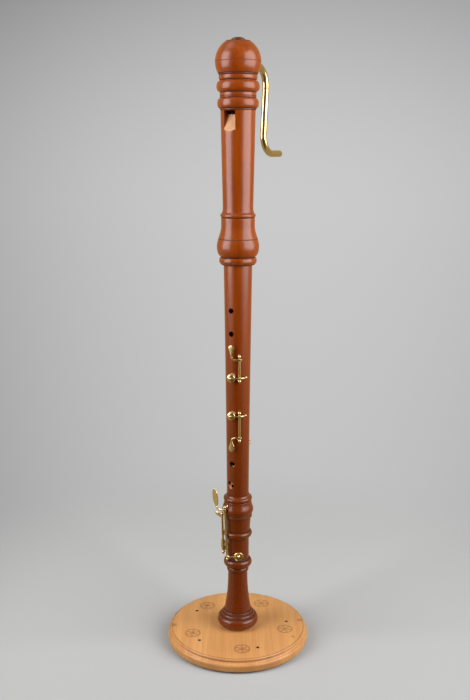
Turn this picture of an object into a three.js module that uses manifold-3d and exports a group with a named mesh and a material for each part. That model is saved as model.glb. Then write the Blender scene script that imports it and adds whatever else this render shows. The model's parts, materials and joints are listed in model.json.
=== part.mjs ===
import * as THREE from 'three';
import { mergeVertices } from 'three/addons/utils/BufferGeometryUtils.js';
import Module from 'manifold-3d';

const wasm = await Module();
wasm.setup();

// A bass recorder: foot, middle and head joints of turned maple, a wind cap blown through a brass
// crook, and four brass keys. It stands on the peg of a round turned stand.
// Millimetres, +Z up. Finger holes and window face -Y, the crook and thumb hole +Y.
// The origin is the centre of the stand's underside. Angles round the bore are in degrees from
// the finger-hole line, growing towards +X.

// Clearances and cutting
const restGap = 0.3; // between pieces that seat or rest on each other
const pinSlip = 0.35; // radial room of a pin in its hole
const tenonSlip = 0.4; // radial room of a tenon that turns in its socket
const cutOverrun = 6; // how far a cutter runs past the wall that it cuts
const weld = 0.0001; // corners closer than this are one corner

// Facets
const turnedSides = 18;
const smallSides = 10;
const pinSides = 8;
const armSides = 6;
const bendSteps = 9;

// Stand
const standRadius = 121.5;
const standTopRadius = 115;
const standThickness = 21;
const plateThickness = 3.5;
const plateRadius = 112;
const standScrewCircleShare = 0.748; // of the top's radius
const standScrewCount = 5;
const standScrewTurn = -18; // angle of the first screw
const standScrewHead = 2.6;
const standScrewShank = 1.5;
const pegRadius = 9.6;
const pegHeight = 70;
const pegSeatDepth = 12;
const pegScrewHead = 4.5;
const pegScrewShank = 2;
const pegScrewLength = 30;

// Foot joint
const footLength = 243;
const footBellRadius = 35.1;
const footStemRadius = 16.5;
const footWaistRadius = 19;
const footTubeRadius = 21;
const footBulgeRadius = 26.5;
const footRingRadius = 24.2;
const footBeadRadius = 24.1;
const footBoreRadius = 10.5;
const footBoreTopRadius = 11.4;

// Middle joint
const middleLength = 388;
const middleLowRadius = 18.55;
const middleHighRadius = 23;
const middleSwell = 1.35; // above 1 the taper is slower at the lower end
const middleBoreLowRadius = 11.8;
const middleBoreHighRadius = 14;
const lowTenonRadius = 15.8;
const lowTenonLength = 34;
const highTenonRadius = 18.8;
const highTenonLength = 40;

// Head joint
const headLength = 261;
const headTubeRadius = 24.3;
const headTubeTopRadius = 27.4;
const headBellRadius = 33.9;
const headCollarRadius = 26.9;
const headBeadRadius = 32.4;
const headNeckRadius = 28.5;
const headBoreRadius = 15.5;
const headBoreLowRadius = 14.6;
const capTenonRadius = 23;
const capTenonLength = 32;

// Window, lip and windway
const windowWidth = 20;
const windowHeight = 5.8; // from the block's line down to the edge of the lip
const windowDrop = 21.8; // from the head's shoulder down to the window's upper edge
const lipRadius = 16; // distance of the lip's edge from the bore's axis
const rampLength = 27.1;
const windwayRoof = 17;
const windwayHeight = 2.4;

// Cap, button and corks
const capBallRadius = 35.7;
const capBallHeight = 51;
const capRimRadius = 19.5;
const capNeckRadius = 28.6;
const capBeadRadius = 33.6;
const capChamberRadius = 25;
const buttonRadius = 11;
const buttonRise = 6.2;
const buttonStemRadius = 5;
const buttonStemLength = 10;
const corkThickness = 1.5;
const corkLength = 14;

// Crook
const crookRadius = 5.5;
const crookWall = 0.8;
const crookReach = 86.9; // from the bore's axis to the straight tube's upper end
const crookLean = 5.2; // degrees that the straight tube leans in towards the head
const crookBend = 32;
const crookTubeLength = 70;
const crookMouthBend = 30;
const crookMouthLength = 26;
const crookSpigotLength = 9;
const crookCollarLength = 2;
const crookCorkThickness = 1.2;

// Tone holes, as heights on their joint and angles round it
const holeRadius = 4.5;
const holeOneHeight = 315.7;
const holeTwoHeight = 277.6;
const holeFiveHeight = 55.8;
const holeFiveRadius = 3.6;
const thumbHoleHeight = 335;
const doubleHoleRadius = 2.1;
const doubleHoleHeight = 19;
const doubleHoleSpread = 7;
const doubleHoleTurn = -9;
const doubleHoleDrop = 3.6; // how much lower the second of the two holes is
const scoopRadius = 24;
const scoopDepth = 1.4;

// Key work that all four keys share
const rodRadius = 1.1;
const sleeveRadius = 1.85;
const postBallRadius = 2.6;
const postShankRadius = 1.5;
const postFlangeRadius = 2.7;
const postFlangeThickness = 1.2;
const postCollarShare = 0.6; // largest share of a short shank that the flange takes
const postStudLength = 4;
const rodHeadRadius = 1.6;
const rodHeadThickness = 0.7;
const cupWall = 0.7;
const cupRimDepth = 1.4;
const cupDome = 1.9;
const padThickness = 2.8;
const armWidth = 2.6;
const armThickness = 1.9;
const springRadius = 0.35;
const springReach = 12;
const stopCorkRadius = 1.3;

// Third-finger key and fourth-finger key on the middle joint
const keyRodTurn = 37.5;
const keyRodStandoff = 4.2;
const keyCupRadius = 6.7;
const keyCupTurn = 3;
const keyHoleRadius = 4.4;
const keyOpening = 14;
const keyTailTurn = 66;
const keyTouchWidth = 10.6;
const keyTouchLength = 21;
const keyTouchTurn = 7;
const keyTouchCurl = 7; // turn from the touch's middle to where its arm comes in
const keyTouchStandoff = 5.8;
const keyPostInset = 5;
const keyThreeCupHeight = 205.6;
const keyThreeReach = 31;
const keyFourCupHeight = 141.2;
const keyFourReach = 37;

// Low F key (short touch, side cup) and low F sharp key (leaf touch, front cup) on the foot joint
const footSleeveRadius = 1.85;
const footRodStandoff = 3.7; // of both rods' upper ends, from the widest wood under them
const lowKeyRodTurn = -33;
const lowKeyFootStandoff = 8.6; // of the rod's lower end, from the wood under post and spring
const lowKeyTopHeight = 210;
const lowKeyCupHeight = 146.8;
const lowKeyCupTurn = -66;
const lowKeyCupRadius = 10.6;
const lowKeyHoleRadius = 5.6;
const lowKeyOpening = 22;
const lowKeyTouchLength = 12.5;
const lowKeyTouchWidth = 6.6;
const lowKeyTouchRise = 7; // how much higher the touch's tip is than its root
const sharpKeyRodTurn = -16;
const sharpKeyFootStandoff = 5.4;
const sharpKeyTopHeight = 224.5;
const sharpKeyCupHeight = 135.2;
const sharpKeyCupTurn = 35;
const sharpKeyCupRadius = 8.4;
const sharpKeyHoleRadius = 4.6;
const sharpKeyCollarRadius = 2.45;
const sharpKeyCollarLength = 4.6;
const leafLength = 32;
const leafWidth = 12;
const leafStandoff = 11;
const leafTurn = -43;
const leafLean = 4;

// Thumb rest
const restHeight = 80;
const restPlateWidth = 13;
const restPlateHeight = 34;
const restPlateThickness = 1.5;
const restShelfReach = 16;
const restShelfThickness = 2.2;
const restLipHeight = 5.5;
const restEyeRadius = 3.3;
const restScrewHead = 2.5;
const restScrewShank = 1.3;
const restScrewLength = 5;

const degree = Math.PI / 180;
const up = new THREE.Vector3(0, 0, 1);

// Outlines of turned work: lists of [radius, height] points

const lerp = THREE.MathUtils.lerp;

// A round bead from one point to another, swelling to the crown radius half-way.
function bead(radius0, height0, radius1, height1, crown, steps = 4) {
  const points = [];
  const swell = crown - (radius0 + radius1) / 2;
  for (let i = 0; i <= steps; i += 1) {
    const t = i / steps;
    const height = lerp(height0, height1, (1 - Math.cos(Math.PI * t)) / 2);
    points.push([lerp(radius0, radius1, t) + swell * Math.sin(Math.PI * t), height]);
  }
  return points;
}

// A quarter round that leaves the first point square to the axis and meets the second along it.
// It is hollow where the second radius is the smaller, and bellies out where it is the larger.
function cove(radius0, height0, radius1, height1, steps = 4) {
  const points = [];
  for (let i = 0; i <= steps; i += 1) {
    const turn = (Math.PI / 2) * (i / steps);
    points.push([
      lerp(radius0, radius1, Math.sin(turn)),
      lerp(height0, height1, 1 - Math.cos(turn)),
    ]);
  }
  return points;
}

// A hollow sweep that leaves the first point at a slant and meets the second along the axis.
function flare(radius0, height0, radius1, height1, steps = 5) {
  const points = [];
  for (let i = 0; i <= steps; i += 1) {
    const t = i / steps;
    points.push([lerp(radius1, radius0, (1 - t) ** 2), lerp(height0, height1, t)]);
  }
  return points;
}

// An S curve whose two ends run along the axis.
function ogee(radius0, height0, radius1, height1, steps = 5) {
  const points = [];
  for (let i = 0; i <= steps; i += 1) {
    const t = i / steps;
    points.push([lerp(radius0, radius1, (1 - Math.cos(Math.PI * t)) / 2), lerp(height0, height1, t)]);
  }
  return points;
}

// An arc of a ball, between two angles from its equator.
function ballArc(radius, centre, low, high, steps) {
  const points = [];
  for (let i = 0; i <= steps; i += 1) {
    const turn = lerp(low, high, i / steps);
    points.push([radius * Math.cos(turn), centre + radius * Math.sin(turn)]);
  }
  return points;
}

// The largest radius of an outline between two heights.
function widest(outline, low, high) {
  let radius = 0;
  for (let i = 1; i < outline.length; i += 1) {
    const [r0, h0] = outline[i - 1];
    const [r1, h1] = outline[i];
    const from = Math.max(Math.min(h0, h1), low);
    const to = Math.min(Math.max(h0, h1), high);
    if (from <= to && h0 !== h1) {
      radius = Math.max(radius, lerp(r0, r1, (from - h0) / (h1 - h0)));
      radius = Math.max(radius, lerp(r0, r1, (to - h0) / (h1 - h0)));
    }
  }
  return radius;
}

// Solids

// Six times the volume inside a closed set of faces, negative where they point inwards.
function signedVolume(corners, faces) {
  const [a, b, c] = [new THREE.Vector3(), new THREE.Vector3(), new THREE.Vector3()];
  let total = 0;
  for (let i = 0; i < faces.length; i += 3) {
    a.fromArray(corners, 3 * faces[i]);
    b.fromArray(corners, 3 * faces[i + 1]);
    c.fromArray(corners, 3 * faces[i + 2]);
    total += a.dot(b.cross(c));
  }
  return total;
}

// A manifold-3d solid of a closed geometry, with its faces turned outwards.
function solidOf(geometry) {
  const bare = geometry.clone();
  bare.deleteAttribute('normal');
  bare.deleteAttribute('uv');
  const welded = mergeVertices(bare, weld);
  const corners = Float32Array.from(welded.attributes.position.array);
  const index = welded.index.array;
  const faces = [];
  for (let i = 0; i < index.length; i += 3) {
    const [a, b, c] = [index[i], index[i + 1], index[i + 2]];
    if (a !== b && b !== c && c !== a) faces.push(a, b, c);
  }
  if (signedVolume(corners, faces) < 0) faces.reverse();
  return new wasm.Manifold(
    new wasm.Mesh({ numProp: 3, vertProperties: corners, triVerts: Uint32Array.from(faces) }),
  );
}

// A three.js geometry of a manifold-3d solid.
function geometryOf(solid) {
  const result = solid.getMesh();
  const geometry = new THREE.BufferGeometry();
  geometry.setAttribute('position', new THREE.BufferAttribute(result.vertProperties, 3));
  geometry.setIndex(new THREE.BufferAttribute(result.triVerts, 1));
  return geometry;
}

function join(first, ...others) {
  let solid = solidOf(first);
  for (const other of others) solid = solid.add(solidOf(other));
  return geometryOf(solid);
}

function cut(first, ...others) {
  let solid = solidOf(first);
  for (const other of others) solid = solid.subtract(solidOf(other));
  return geometryOf(solid);
}

function common(first, second) {
  return geometryOf(solidOf(first).intersect(solidOf(second)));
}

// Revolves an outline round +Z. An outline that doesn't start on the axis is closed on itself.
function turned(outline, sides = turnedSides) {
  const points = outline.map(([radius, height]) => new THREE.Vector2(radius, height));
  if (outline[0][0] > 0) points.push(points[0].clone());
  return new THREE.LatheGeometry(points, sides).rotateX(Math.PI / 2);
}

// A plain round bar along +Z.
function bar(radius, low, high, sides = pinSides) {
  return turned([[0, low], [radius, low], [radius, high], [0, high]], sides);
}

// A round tube along +Z.
function tube(outer, inner, low, high, sides = smallSides) {
  return turned([[inner, low], [outer, low], [outer, high], [inner, high]], sides);
}

// A prism along X over an outline of [y, z] points.
function prism(outline, width) {
  const shape = new THREE.Shape(outline.map(([y, z]) => new THREE.Vector2(y, z)));
  const geometry = new THREE.ExtrudeGeometry(shape, { depth: width, bevelEnabled: false });
  return geometry
    .applyMatrix4(new THREE.Matrix4().set(0, 0, 1, -width / 2, 1, 0, 0, 0, 0, 1, 0, 0, 0, 0, 0, 1));
}

// Stands a shape modelled along +Z on a point, with +Z turned to the direction.
function aimed(geometry, at, direction) {
  const turn = new THREE.Quaternion().setFromUnitVectors(up, direction.clone().normalize());
  const size = new THREE.Vector3(1, 1, 1);
  return geometry.applyMatrix4(new THREE.Matrix4().compose(at, turn, size));
}

// Turns a shape round a line, in degrees.
function swung(geometry, line, angle) {
  const turn = new THREE.Matrix4().makeRotationAxis(line.direction, angle * degree);
  const home = new THREE.Matrix4().makeTranslation(line.low);
  const away = new THREE.Matrix4().makeTranslation(line.low.clone().negate());
  return geometry.applyMatrix4(home.multiply(turn).multiply(away));
}

// The direction out of the bore at an angle, and a point at an angle, distance and height.
function outward(angle) {
  return new THREE.Vector3(Math.sin(angle * degree), -Math.cos(angle * degree), 0);
}

function polar(angle, radius, height) {
  return outward(angle).multiplyScalar(radius).setZ(height);
}

// A cutter along the direction out of the bore, from one distance to another.
function drill(angle, height, radius, from, to, sides = smallSides) {
  return aimed(bar(radius, from, to, sides), new THREE.Vector3(0, 0, height), outward(angle));
}

// A bar lofted through stations. Each station has a place, the direction its upper face looks,
// a width and a thickness, and its section is a hexagon.
function lofted(stations) {
  const sides = armSides;
  const corners = [];
  const faces = [];
  const last = stations.length - 1;
  stations.forEach(({ at, face, width, thickness }, i) => {
    const next = stations[Math.min(i + 1, last)].at;
    const before = stations[Math.max(i - 1, 0)].at;
    const along = next.clone().sub(before).normalize();
    const side = along.clone().cross(face).normalize();
    const above = side.clone().cross(along).normalize();
    for (let k = 0; k < sides; k += 1) {
      const turn = (2 * Math.PI * k) / sides;
      const corner = at.clone()
        .addScaledVector(side, (width / 2) * Math.cos(turn))
        .addScaledVector(above, (thickness / 2) * (Math.sin(turn) / Math.sin(Math.PI / 3)));
      corners.push(corner.x, corner.y, corner.z);
    }
  });
  for (let i = 0; i < last; i += 1) {
    for (let k = 0; k < sides; k += 1) {
      const [a, b] = [i * sides + k, i * sides + ((k + 1) % sides)];
      faces.push(a, b, b + sides, a, b + sides, a + sides);
    }
  }
  for (let k = 1; k < sides - 1; k += 1) {
    const end = last * sides;
    faces.push(0, k + 1, k, end, end + k, end + k + 1);
  }
  const geometry = new THREE.BufferGeometry();
  geometry.setAttribute('position', new THREE.Float32BufferAttribute(corners, 3));
  geometry.setIndex(faces);
  return geometry;
}

// Stations given as [angle, distance, height, width, thickness], facing out of the bore.
function polarStations(rows, faceAngle) {
  return rows.map(([angle, radius, height, width, thickness]) => ({
    at: polar(angle, radius, height),
    face: outward(faceAngle ?? angle),
    width,
    thickness,
  }));
}

// Materials
function finish(color, roughness, metalness) {
  return new THREE.MeshStandardMaterial({ color, roughness, metalness });
}
const maple = finish(0x9a4718, 0.35, 0);
const darkMaple = finish(0x4a2210, 0.35, 0);
const beech = finish(0xd89c5e, 0.55, 0);
const blackPlate = finish(0x17130f, 0.8, 0);
const cedar = finish(0xb9784c, 0.7, 0);
const cork = finish(0xb98a58, 0.95, 0);
const brass = finish(0xd1b25f, 0.25, 1);
const steel = finish(0x8d8f92, 0.3, 1);
const darkSteel = finish(0x3a3026, 0.5, 1);
const leather = finish(0xe4d3b2, 0.85, 0);

const recorder = new THREE.Group();

// Adds a named piece to a group, with flat-shaded faces.
function piece(group, name, geometry, material) {
  const shown = geometryOf(solidOf(geometry)).toNonIndexed();
  shown.computeVertexNormals();
  const mesh = new THREE.Mesh(shown, material);
  mesh.name = name;
  group.add(mesh);
  return mesh;
}

// Stand: a moulded disc screwed down on a black plate, with a peg for the bore of the foot
function makeStand() {
  const stand = new THREE.Group();
  stand.name = 'stand';
  const seat = plateThickness + restGap;
  const top = seat + standThickness;
  const edge = standRadius - standTopRadius;
  const discOutline = [
    [0, seat],
    [standRadius - edge / 4, seat],
    [standRadius, seat + edge / 3],
    ...bead(standRadius, seat + standThickness * 0.56, standRadius - edge * 0.5, top - standThickness * 0.34,
      standRadius - edge * 0.1, 2),
    ...cove(standRadius - edge * 0.55, top - standThickness * 0.32, standRadius - edge * 0.8,
      top - standThickness * 0.16, 2),
    ...bead(standRadius - edge * 0.72, top - standThickness * 0.15, standTopRadius, top - edge / 12,
      standRadius - edge * 0.55, 2),
    [standTopRadius - edge / 8, top - edge / 8],
    [standTopRadius - edge / 4, top],
    [0, top],
  ];
  const pegSeat = bar(pegRadius + restGap, top - pegSeatDepth, top + cutOverrun, smallSides);
  const pegScrewHole = bar(pegScrewShank + pinSlip, 0, top);
  const pegScrewSink = turned([
    [0, seat - cutOverrun],
    [pegScrewHead + pinSlip, seat - cutOverrun],
    [pegScrewHead + pinSlip, seat + pinSlip],
    [pegScrewShank + pinSlip, seat + pinSlip + pegScrewHead - pegScrewShank],
    [0, seat + pinSlip + pegScrewHead - pegScrewShank],
  ], pinSides);
  const cutters = [pegSeat, pegScrewHole, pegScrewSink];
  const plateCutters = [];
  const sink = standScrewHead - standScrewShank;
  for (let i = 0; i < standScrewCount; i += 1) {
    const angle = standScrewTurn + (360 / standScrewCount) * i;
    const place = polar(angle, standTopRadius * standScrewCircleShare, 0);
    const through = turned([
      [0, seat - cutOverrun],
      [standScrewShank + pinSlip, seat - cutOverrun],
      [standScrewShank + pinSlip, top - sink - restGap],
      [standScrewHead + pinSlip, top - restGap],
      [standScrewHead + pinSlip, top + cutOverrun],
      [0, top + cutOverrun],
    ], pinSides);
    cutters.push(aimed(through, place, up));
    const blind = bar(standScrewShank + pinSlip, plateThickness / 3, plateThickness + cutOverrun);
    plateCutters.push(aimed(blind, place, up));
    const screw = turned([
      [0, plateThickness / 3 + restGap],
      [standScrewShank, plateThickness / 3 + restGap],
      [standScrewShank, top - sink - restGap],
      [standScrewHead, top - restGap],
      [standScrewHead, top - restGap / 2],
      [0, top - restGap / 2],
    ], pinSides);
    piece(stand, `stand_screw_${i + 1}`, aimed(screw, place, up), darkSteel);
  }
  const plate = turned([
    [0, 0],
    [plateRadius - plateThickness / 4, 0],
    [plateRadius, plateThickness / 4],
    [plateRadius, plateThickness],
    [0, plateThickness],
  ]);
  piece(stand, 'stand_disc', cut(turned(discOutline), ...cutters), beech);
  piece(stand, 'stand_plate', cut(plate, ...plateCutters), blackPlate);

  const pegLow = top - pegSeatDepth + restGap;
  const pegTop = top + pegHeight;
  const peg = turned([
    [0, pegLow],
    [pegRadius, pegLow],
    [pegRadius, pegTop - pegRadius],
    ...ballArc(pegRadius, pegTop - pegRadius, 0, Math.PI / 2, 3).slice(1, -1),
    [0, pegTop],
  ], smallSides);
  const pegBore = bar(pegScrewShank + pinSlip, pegLow - cutOverrun, seat + pegScrewLength + restGap * 2);
  piece(stand, 'stand_peg', cut(peg, pegBore), beech);
  const pegScrew = turned([
    [0, seat + restGap],
    [pegScrewHead, seat + restGap],
    [pegScrewShank, seat + restGap + pegScrewHead - pegScrewShank],
    [pegScrewShank, seat + pegScrewLength],
    [0, seat + pegScrewLength],
  ], pinSides);
  piece(stand, 'peg_screw', pegScrew, steel);
  return stand;
}

const standTop = plateThickness + restGap + standThickness;

// Foot joint: a flared bell, two beads, a bulge round the socket and a ring at its mouth.
// Heights are shares of the joint's length.
const footShares = {
  bellMiddle: 0.045, bellTop: 0.0825, stepTop: 0.1045, ringTop: 0.1235, flareTop: 0.379, stemTop: 0.42,
  smallBeadTop: 0.4535, beadLow: 0.459, beadTop: 0.515, waistTop: 0.68,
  upperBeadTop: 0.726, tubeTop: 0.812, bulgeMiddle: 0.881, bulgeTop: 0.947, crownTop: 0.978,
};
const footHeight = {};
for (const [name, share] of Object.entries(footShares)) footHeight[name] = share * footLength;

const footOutline = [
  [footBellRadius * 0.56, 0],
  ...cove(footBellRadius * 0.57, 0, footBellRadius, footHeight.bellMiddle),
  ...cove(footBellRadius * 0.85, footHeight.bellTop, footBellRadius, footHeight.bellMiddle, 3)
    .reverse().slice(1),
  [footBellRadius * 0.84, footHeight.bellTop + footBellRadius * 0.017],
  ...cove(footBellRadius * 0.75, footHeight.stepTop, footBellRadius * 0.82,
    footHeight.bellTop + footBellRadius * 0.035, 2).reverse(),
  ...cove(footBellRadius * 0.67, footHeight.ringTop, footBellRadius * 0.72,
    footHeight.stepTop + footBellRadius * 0.017, 2).reverse(),
  ...flare(footBellRadius * 0.66, footHeight.ringTop + footBellRadius * 0.02, footStemRadius * 1.02,
    footHeight.flareTop),
  [footStemRadius, footHeight.stemTop],
  ...bead(footStemRadius * 1.03, footHeight.stemTop + footStemRadius * 0.02, footStemRadius * 1.03,
    footHeight.smallBeadTop, footStemRadius * 1.145, 2),
  ...bead(footStemRadius * 1.1, footHeight.beadLow, footWaistRadius * 1.015, footHeight.beadTop,
    footBeadRadius),
  [footWaistRadius, footHeight.beadTop + footWaistRadius * 0.04],
  [footWaistRadius, footHeight.waistTop],
  ...bead(footWaistRadius * 1.03, footHeight.waistTop + footWaistRadius * 0.03, footTubeRadius * 0.985,
    footHeight.upperBeadTop, footBeadRadius * 1.01),
  [footTubeRadius * 0.97, footHeight.upperBeadTop + footTubeRadius * 0.03],
  [footTubeRadius * 1.05, footHeight.tubeTop],
  ...ogee(footTubeRadius * 1.09, footHeight.tubeTop + footTubeRadius * 0.08, footBulgeRadius,
    footHeight.bulgeMiddle, 3),
  ...ogee(footBulgeRadius, footHeight.bulgeMiddle, footRingRadius * 0.955, footHeight.bulgeTop, 3).slice(1),
  [footRingRadius * 0.945, footHeight.bulgeTop + footRingRadius * 0.03],
  ...bead(footRingRadius * 0.95, footHeight.bulgeTop + footRingRadius * 0.06, footRingRadius * 0.93,
    footHeight.crownTop, footRingRadius, 3),
  ...cove(footRingRadius * 0.92, footHeight.crownTop + footRingRadius * 0.01, middleLowRadius * 1.03,
    footLength, 3),
];
const lowSocketRadius = lowTenonRadius + tenonSlip;
const lowSocketFloor = footLength - lowTenonLength - restGap;

// Radius of the middle joint at a height above its lower shoulder.
function middleRadiusAt(height) {
  const share = THREE.MathUtils.clamp(height / middleLength, 0, 1);
  return lerp(middleLowRadius, middleHighRadius, share ** middleSwell);
}

// Groove that a cork ring lies in, cut round a tenon, as an outline from low to high.
function corkGroove(radius, low) {
  return [
    [radius, low],
    [radius - corkThickness - tenonSlip, low],
    [radius - corkThickness - tenonSlip, low + corkLength],
    [radius, low + corkLength],
  ];
}

function corkRing(radius, low) {
  return tube(radius, radius - corkThickness, low + restGap, low + corkLength - restGap, turnedSides);
}

// Seat of a pad: the hole through the wall and a flat faced round it.
function padSeat(seat) {
  return [
    drill(seat.turn, seat.height, seat.holeRadius, 0, seat.level + cutOverrun * 2),
    drill(seat.turn, seat.height, seat.cupRadius + restGap * 2, seat.level, seat.level + cutOverrun * 2),
  ];
}

// The flat lies deep enough that the pad, a little smaller than the cup, seats on it all round.
function padLevel(wallRadius, cupRadius) {
  return Math.sqrt(wallRadius ** 2 - (cupRadius - cupWall) ** 2);
}

// Line of a key's rod between two points.
function rodLine(low, high) {
  return { low, high, direction: high.clone().sub(low).normalize() };
}

// A point on the rod's line at a height.
function onLine(line, height) {
  const share = (height - line.low.z) / (line.high.z - line.low.z);
  return line.low.clone().lerp(line.high, share);
}

// A post: a stud in the wood, a flange on it, a shank and a ball drilled for the rod. Flange and shank
// share the room between the wood and the ball where there is little of it.
function makePost(line, height, woodRadius) {
  const ball = onLine(line, height);
  const distance = Math.hypot(ball.x, ball.y);
  const direction = ball.clone().setZ(0).normalize();
  const flange = woodRadius + restGap;
  const neck = distance - Math.sqrt(postBallRadius ** 2 - postShankRadius ** 2);
  const collar = Math.min(postFlangeThickness, (neck - flange) * postCollarShare);
  const outline = [
    [0, woodRadius - postStudLength],
    [postShankRadius, woodRadius - postStudLength],
    [postShankRadius, flange],
    [postFlangeRadius, flange],
    [postShankRadius, flange + collar],
    [postShankRadius, neck],
    ...ballArc(postBallRadius, distance, -Math.acos(postShankRadius / postBallRadius), Math.PI / 2, 3)
      .slice(1, -1),
    [0, distance + postBallRadius],
  ];
  const post = aimed(turned(outline, pinSides), new THREE.Vector3(0, 0, height), direction);
  const reach = postBallRadius + cutOverrun;
  return cut(post, aimed(bar(rodRadius + pinSlip, -reach, reach), ball, line.direction));
}

function postHole(line, height, woodRadius) {
  const ball = onLine(line, height);
  const angle = Math.atan2(ball.x, -ball.y) / degree;
  const depth = woodRadius - postStudLength - restGap;
  return drill(angle, height, postShankRadius + restGap, depth, woodRadius + cutOverrun, pinSides);
}

// The rod is a long screw that passes both posts, with its head beyond the first.
function makeRod(line, headHeight, endHeight) {
  const head = onLine(line, headHeight);
  const end = onLine(line, endHeight);
  const away = head.clone().sub(end).normalize();
  const span = head.distanceTo(end);
  const rod = turned([
    [0, -span - postBallRadius - rodRadius],
    [rodRadius, -span - postBallRadius - rodRadius],
    [rodRadius, postBallRadius + restGap],
    [rodHeadRadius, postBallRadius + restGap],
    [rodHeadRadius, postBallRadius + restGap + rodHeadThickness],
    [0, postBallRadius + restGap + rodHeadThickness],
  ], pinSides);
  return aimed(rod, head, away);
}

function makeSleeve(line, low, high, radius) {
  const start = onLine(line, low);
  const length = start.distanceTo(onLine(line, high));
  return aimed(tube(radius, rodRadius + pinSlip, 0, length, pinSides), start, line.direction);
}

// The room for the rod along the whole of a key.
function rodRoom(line) {
  const length = line.low.distanceTo(line.high);
  return aimed(bar(rodRadius + pinSlip, -cutOverrun, length + cutOverrun), line.low, line.direction);
}

// A domed cup with a recess that holds the pad. Its level is the flat that the pad closes on.
function makeCup(seat) {
  const inside = seat.level + restGap + padThickness + restGap;
  const rim = inside - cupRimDepth;
  const radius = seat.cupRadius;
  const outline = [
    [0, inside],
    [radius - cupWall, inside],
    [radius - cupWall, rim],
    [radius, rim],
    [radius, inside + cupWall],
    [radius * 0.72, inside + cupWall + cupDome * 0.7],
    [0, inside + cupWall + cupDome],
  ];
  return aimed(turned(outline, smallSides), new THREE.Vector3(0, 0, seat.height), outward(seat.turn));
}

function cupTop(seat) {
  return seat.level + restGap * 2 + padThickness + cupWall + cupDome;
}

function makePad(seat) {
  const low = seat.level + restGap;
  return drill(seat.turn, seat.height, seat.cupRadius - cupWall - restGap, low, low + padThickness);
}

// A needle spring: a thin wire from a post along the side of the sleeve that faces the wood.
function makeSpring(line, postHeight, way, radius) {
  const start = onLine(line, postHeight + way * (postFlangeRadius + restGap));
  const inward = start.clone().setZ(0).normalize().negate();
  start.addScaledVector(inward, radius + restGap + springRadius);
  return aimed(bar(springRadius, 0, springReach), start, line.direction.clone().multiplyScalar(way));
}

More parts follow.
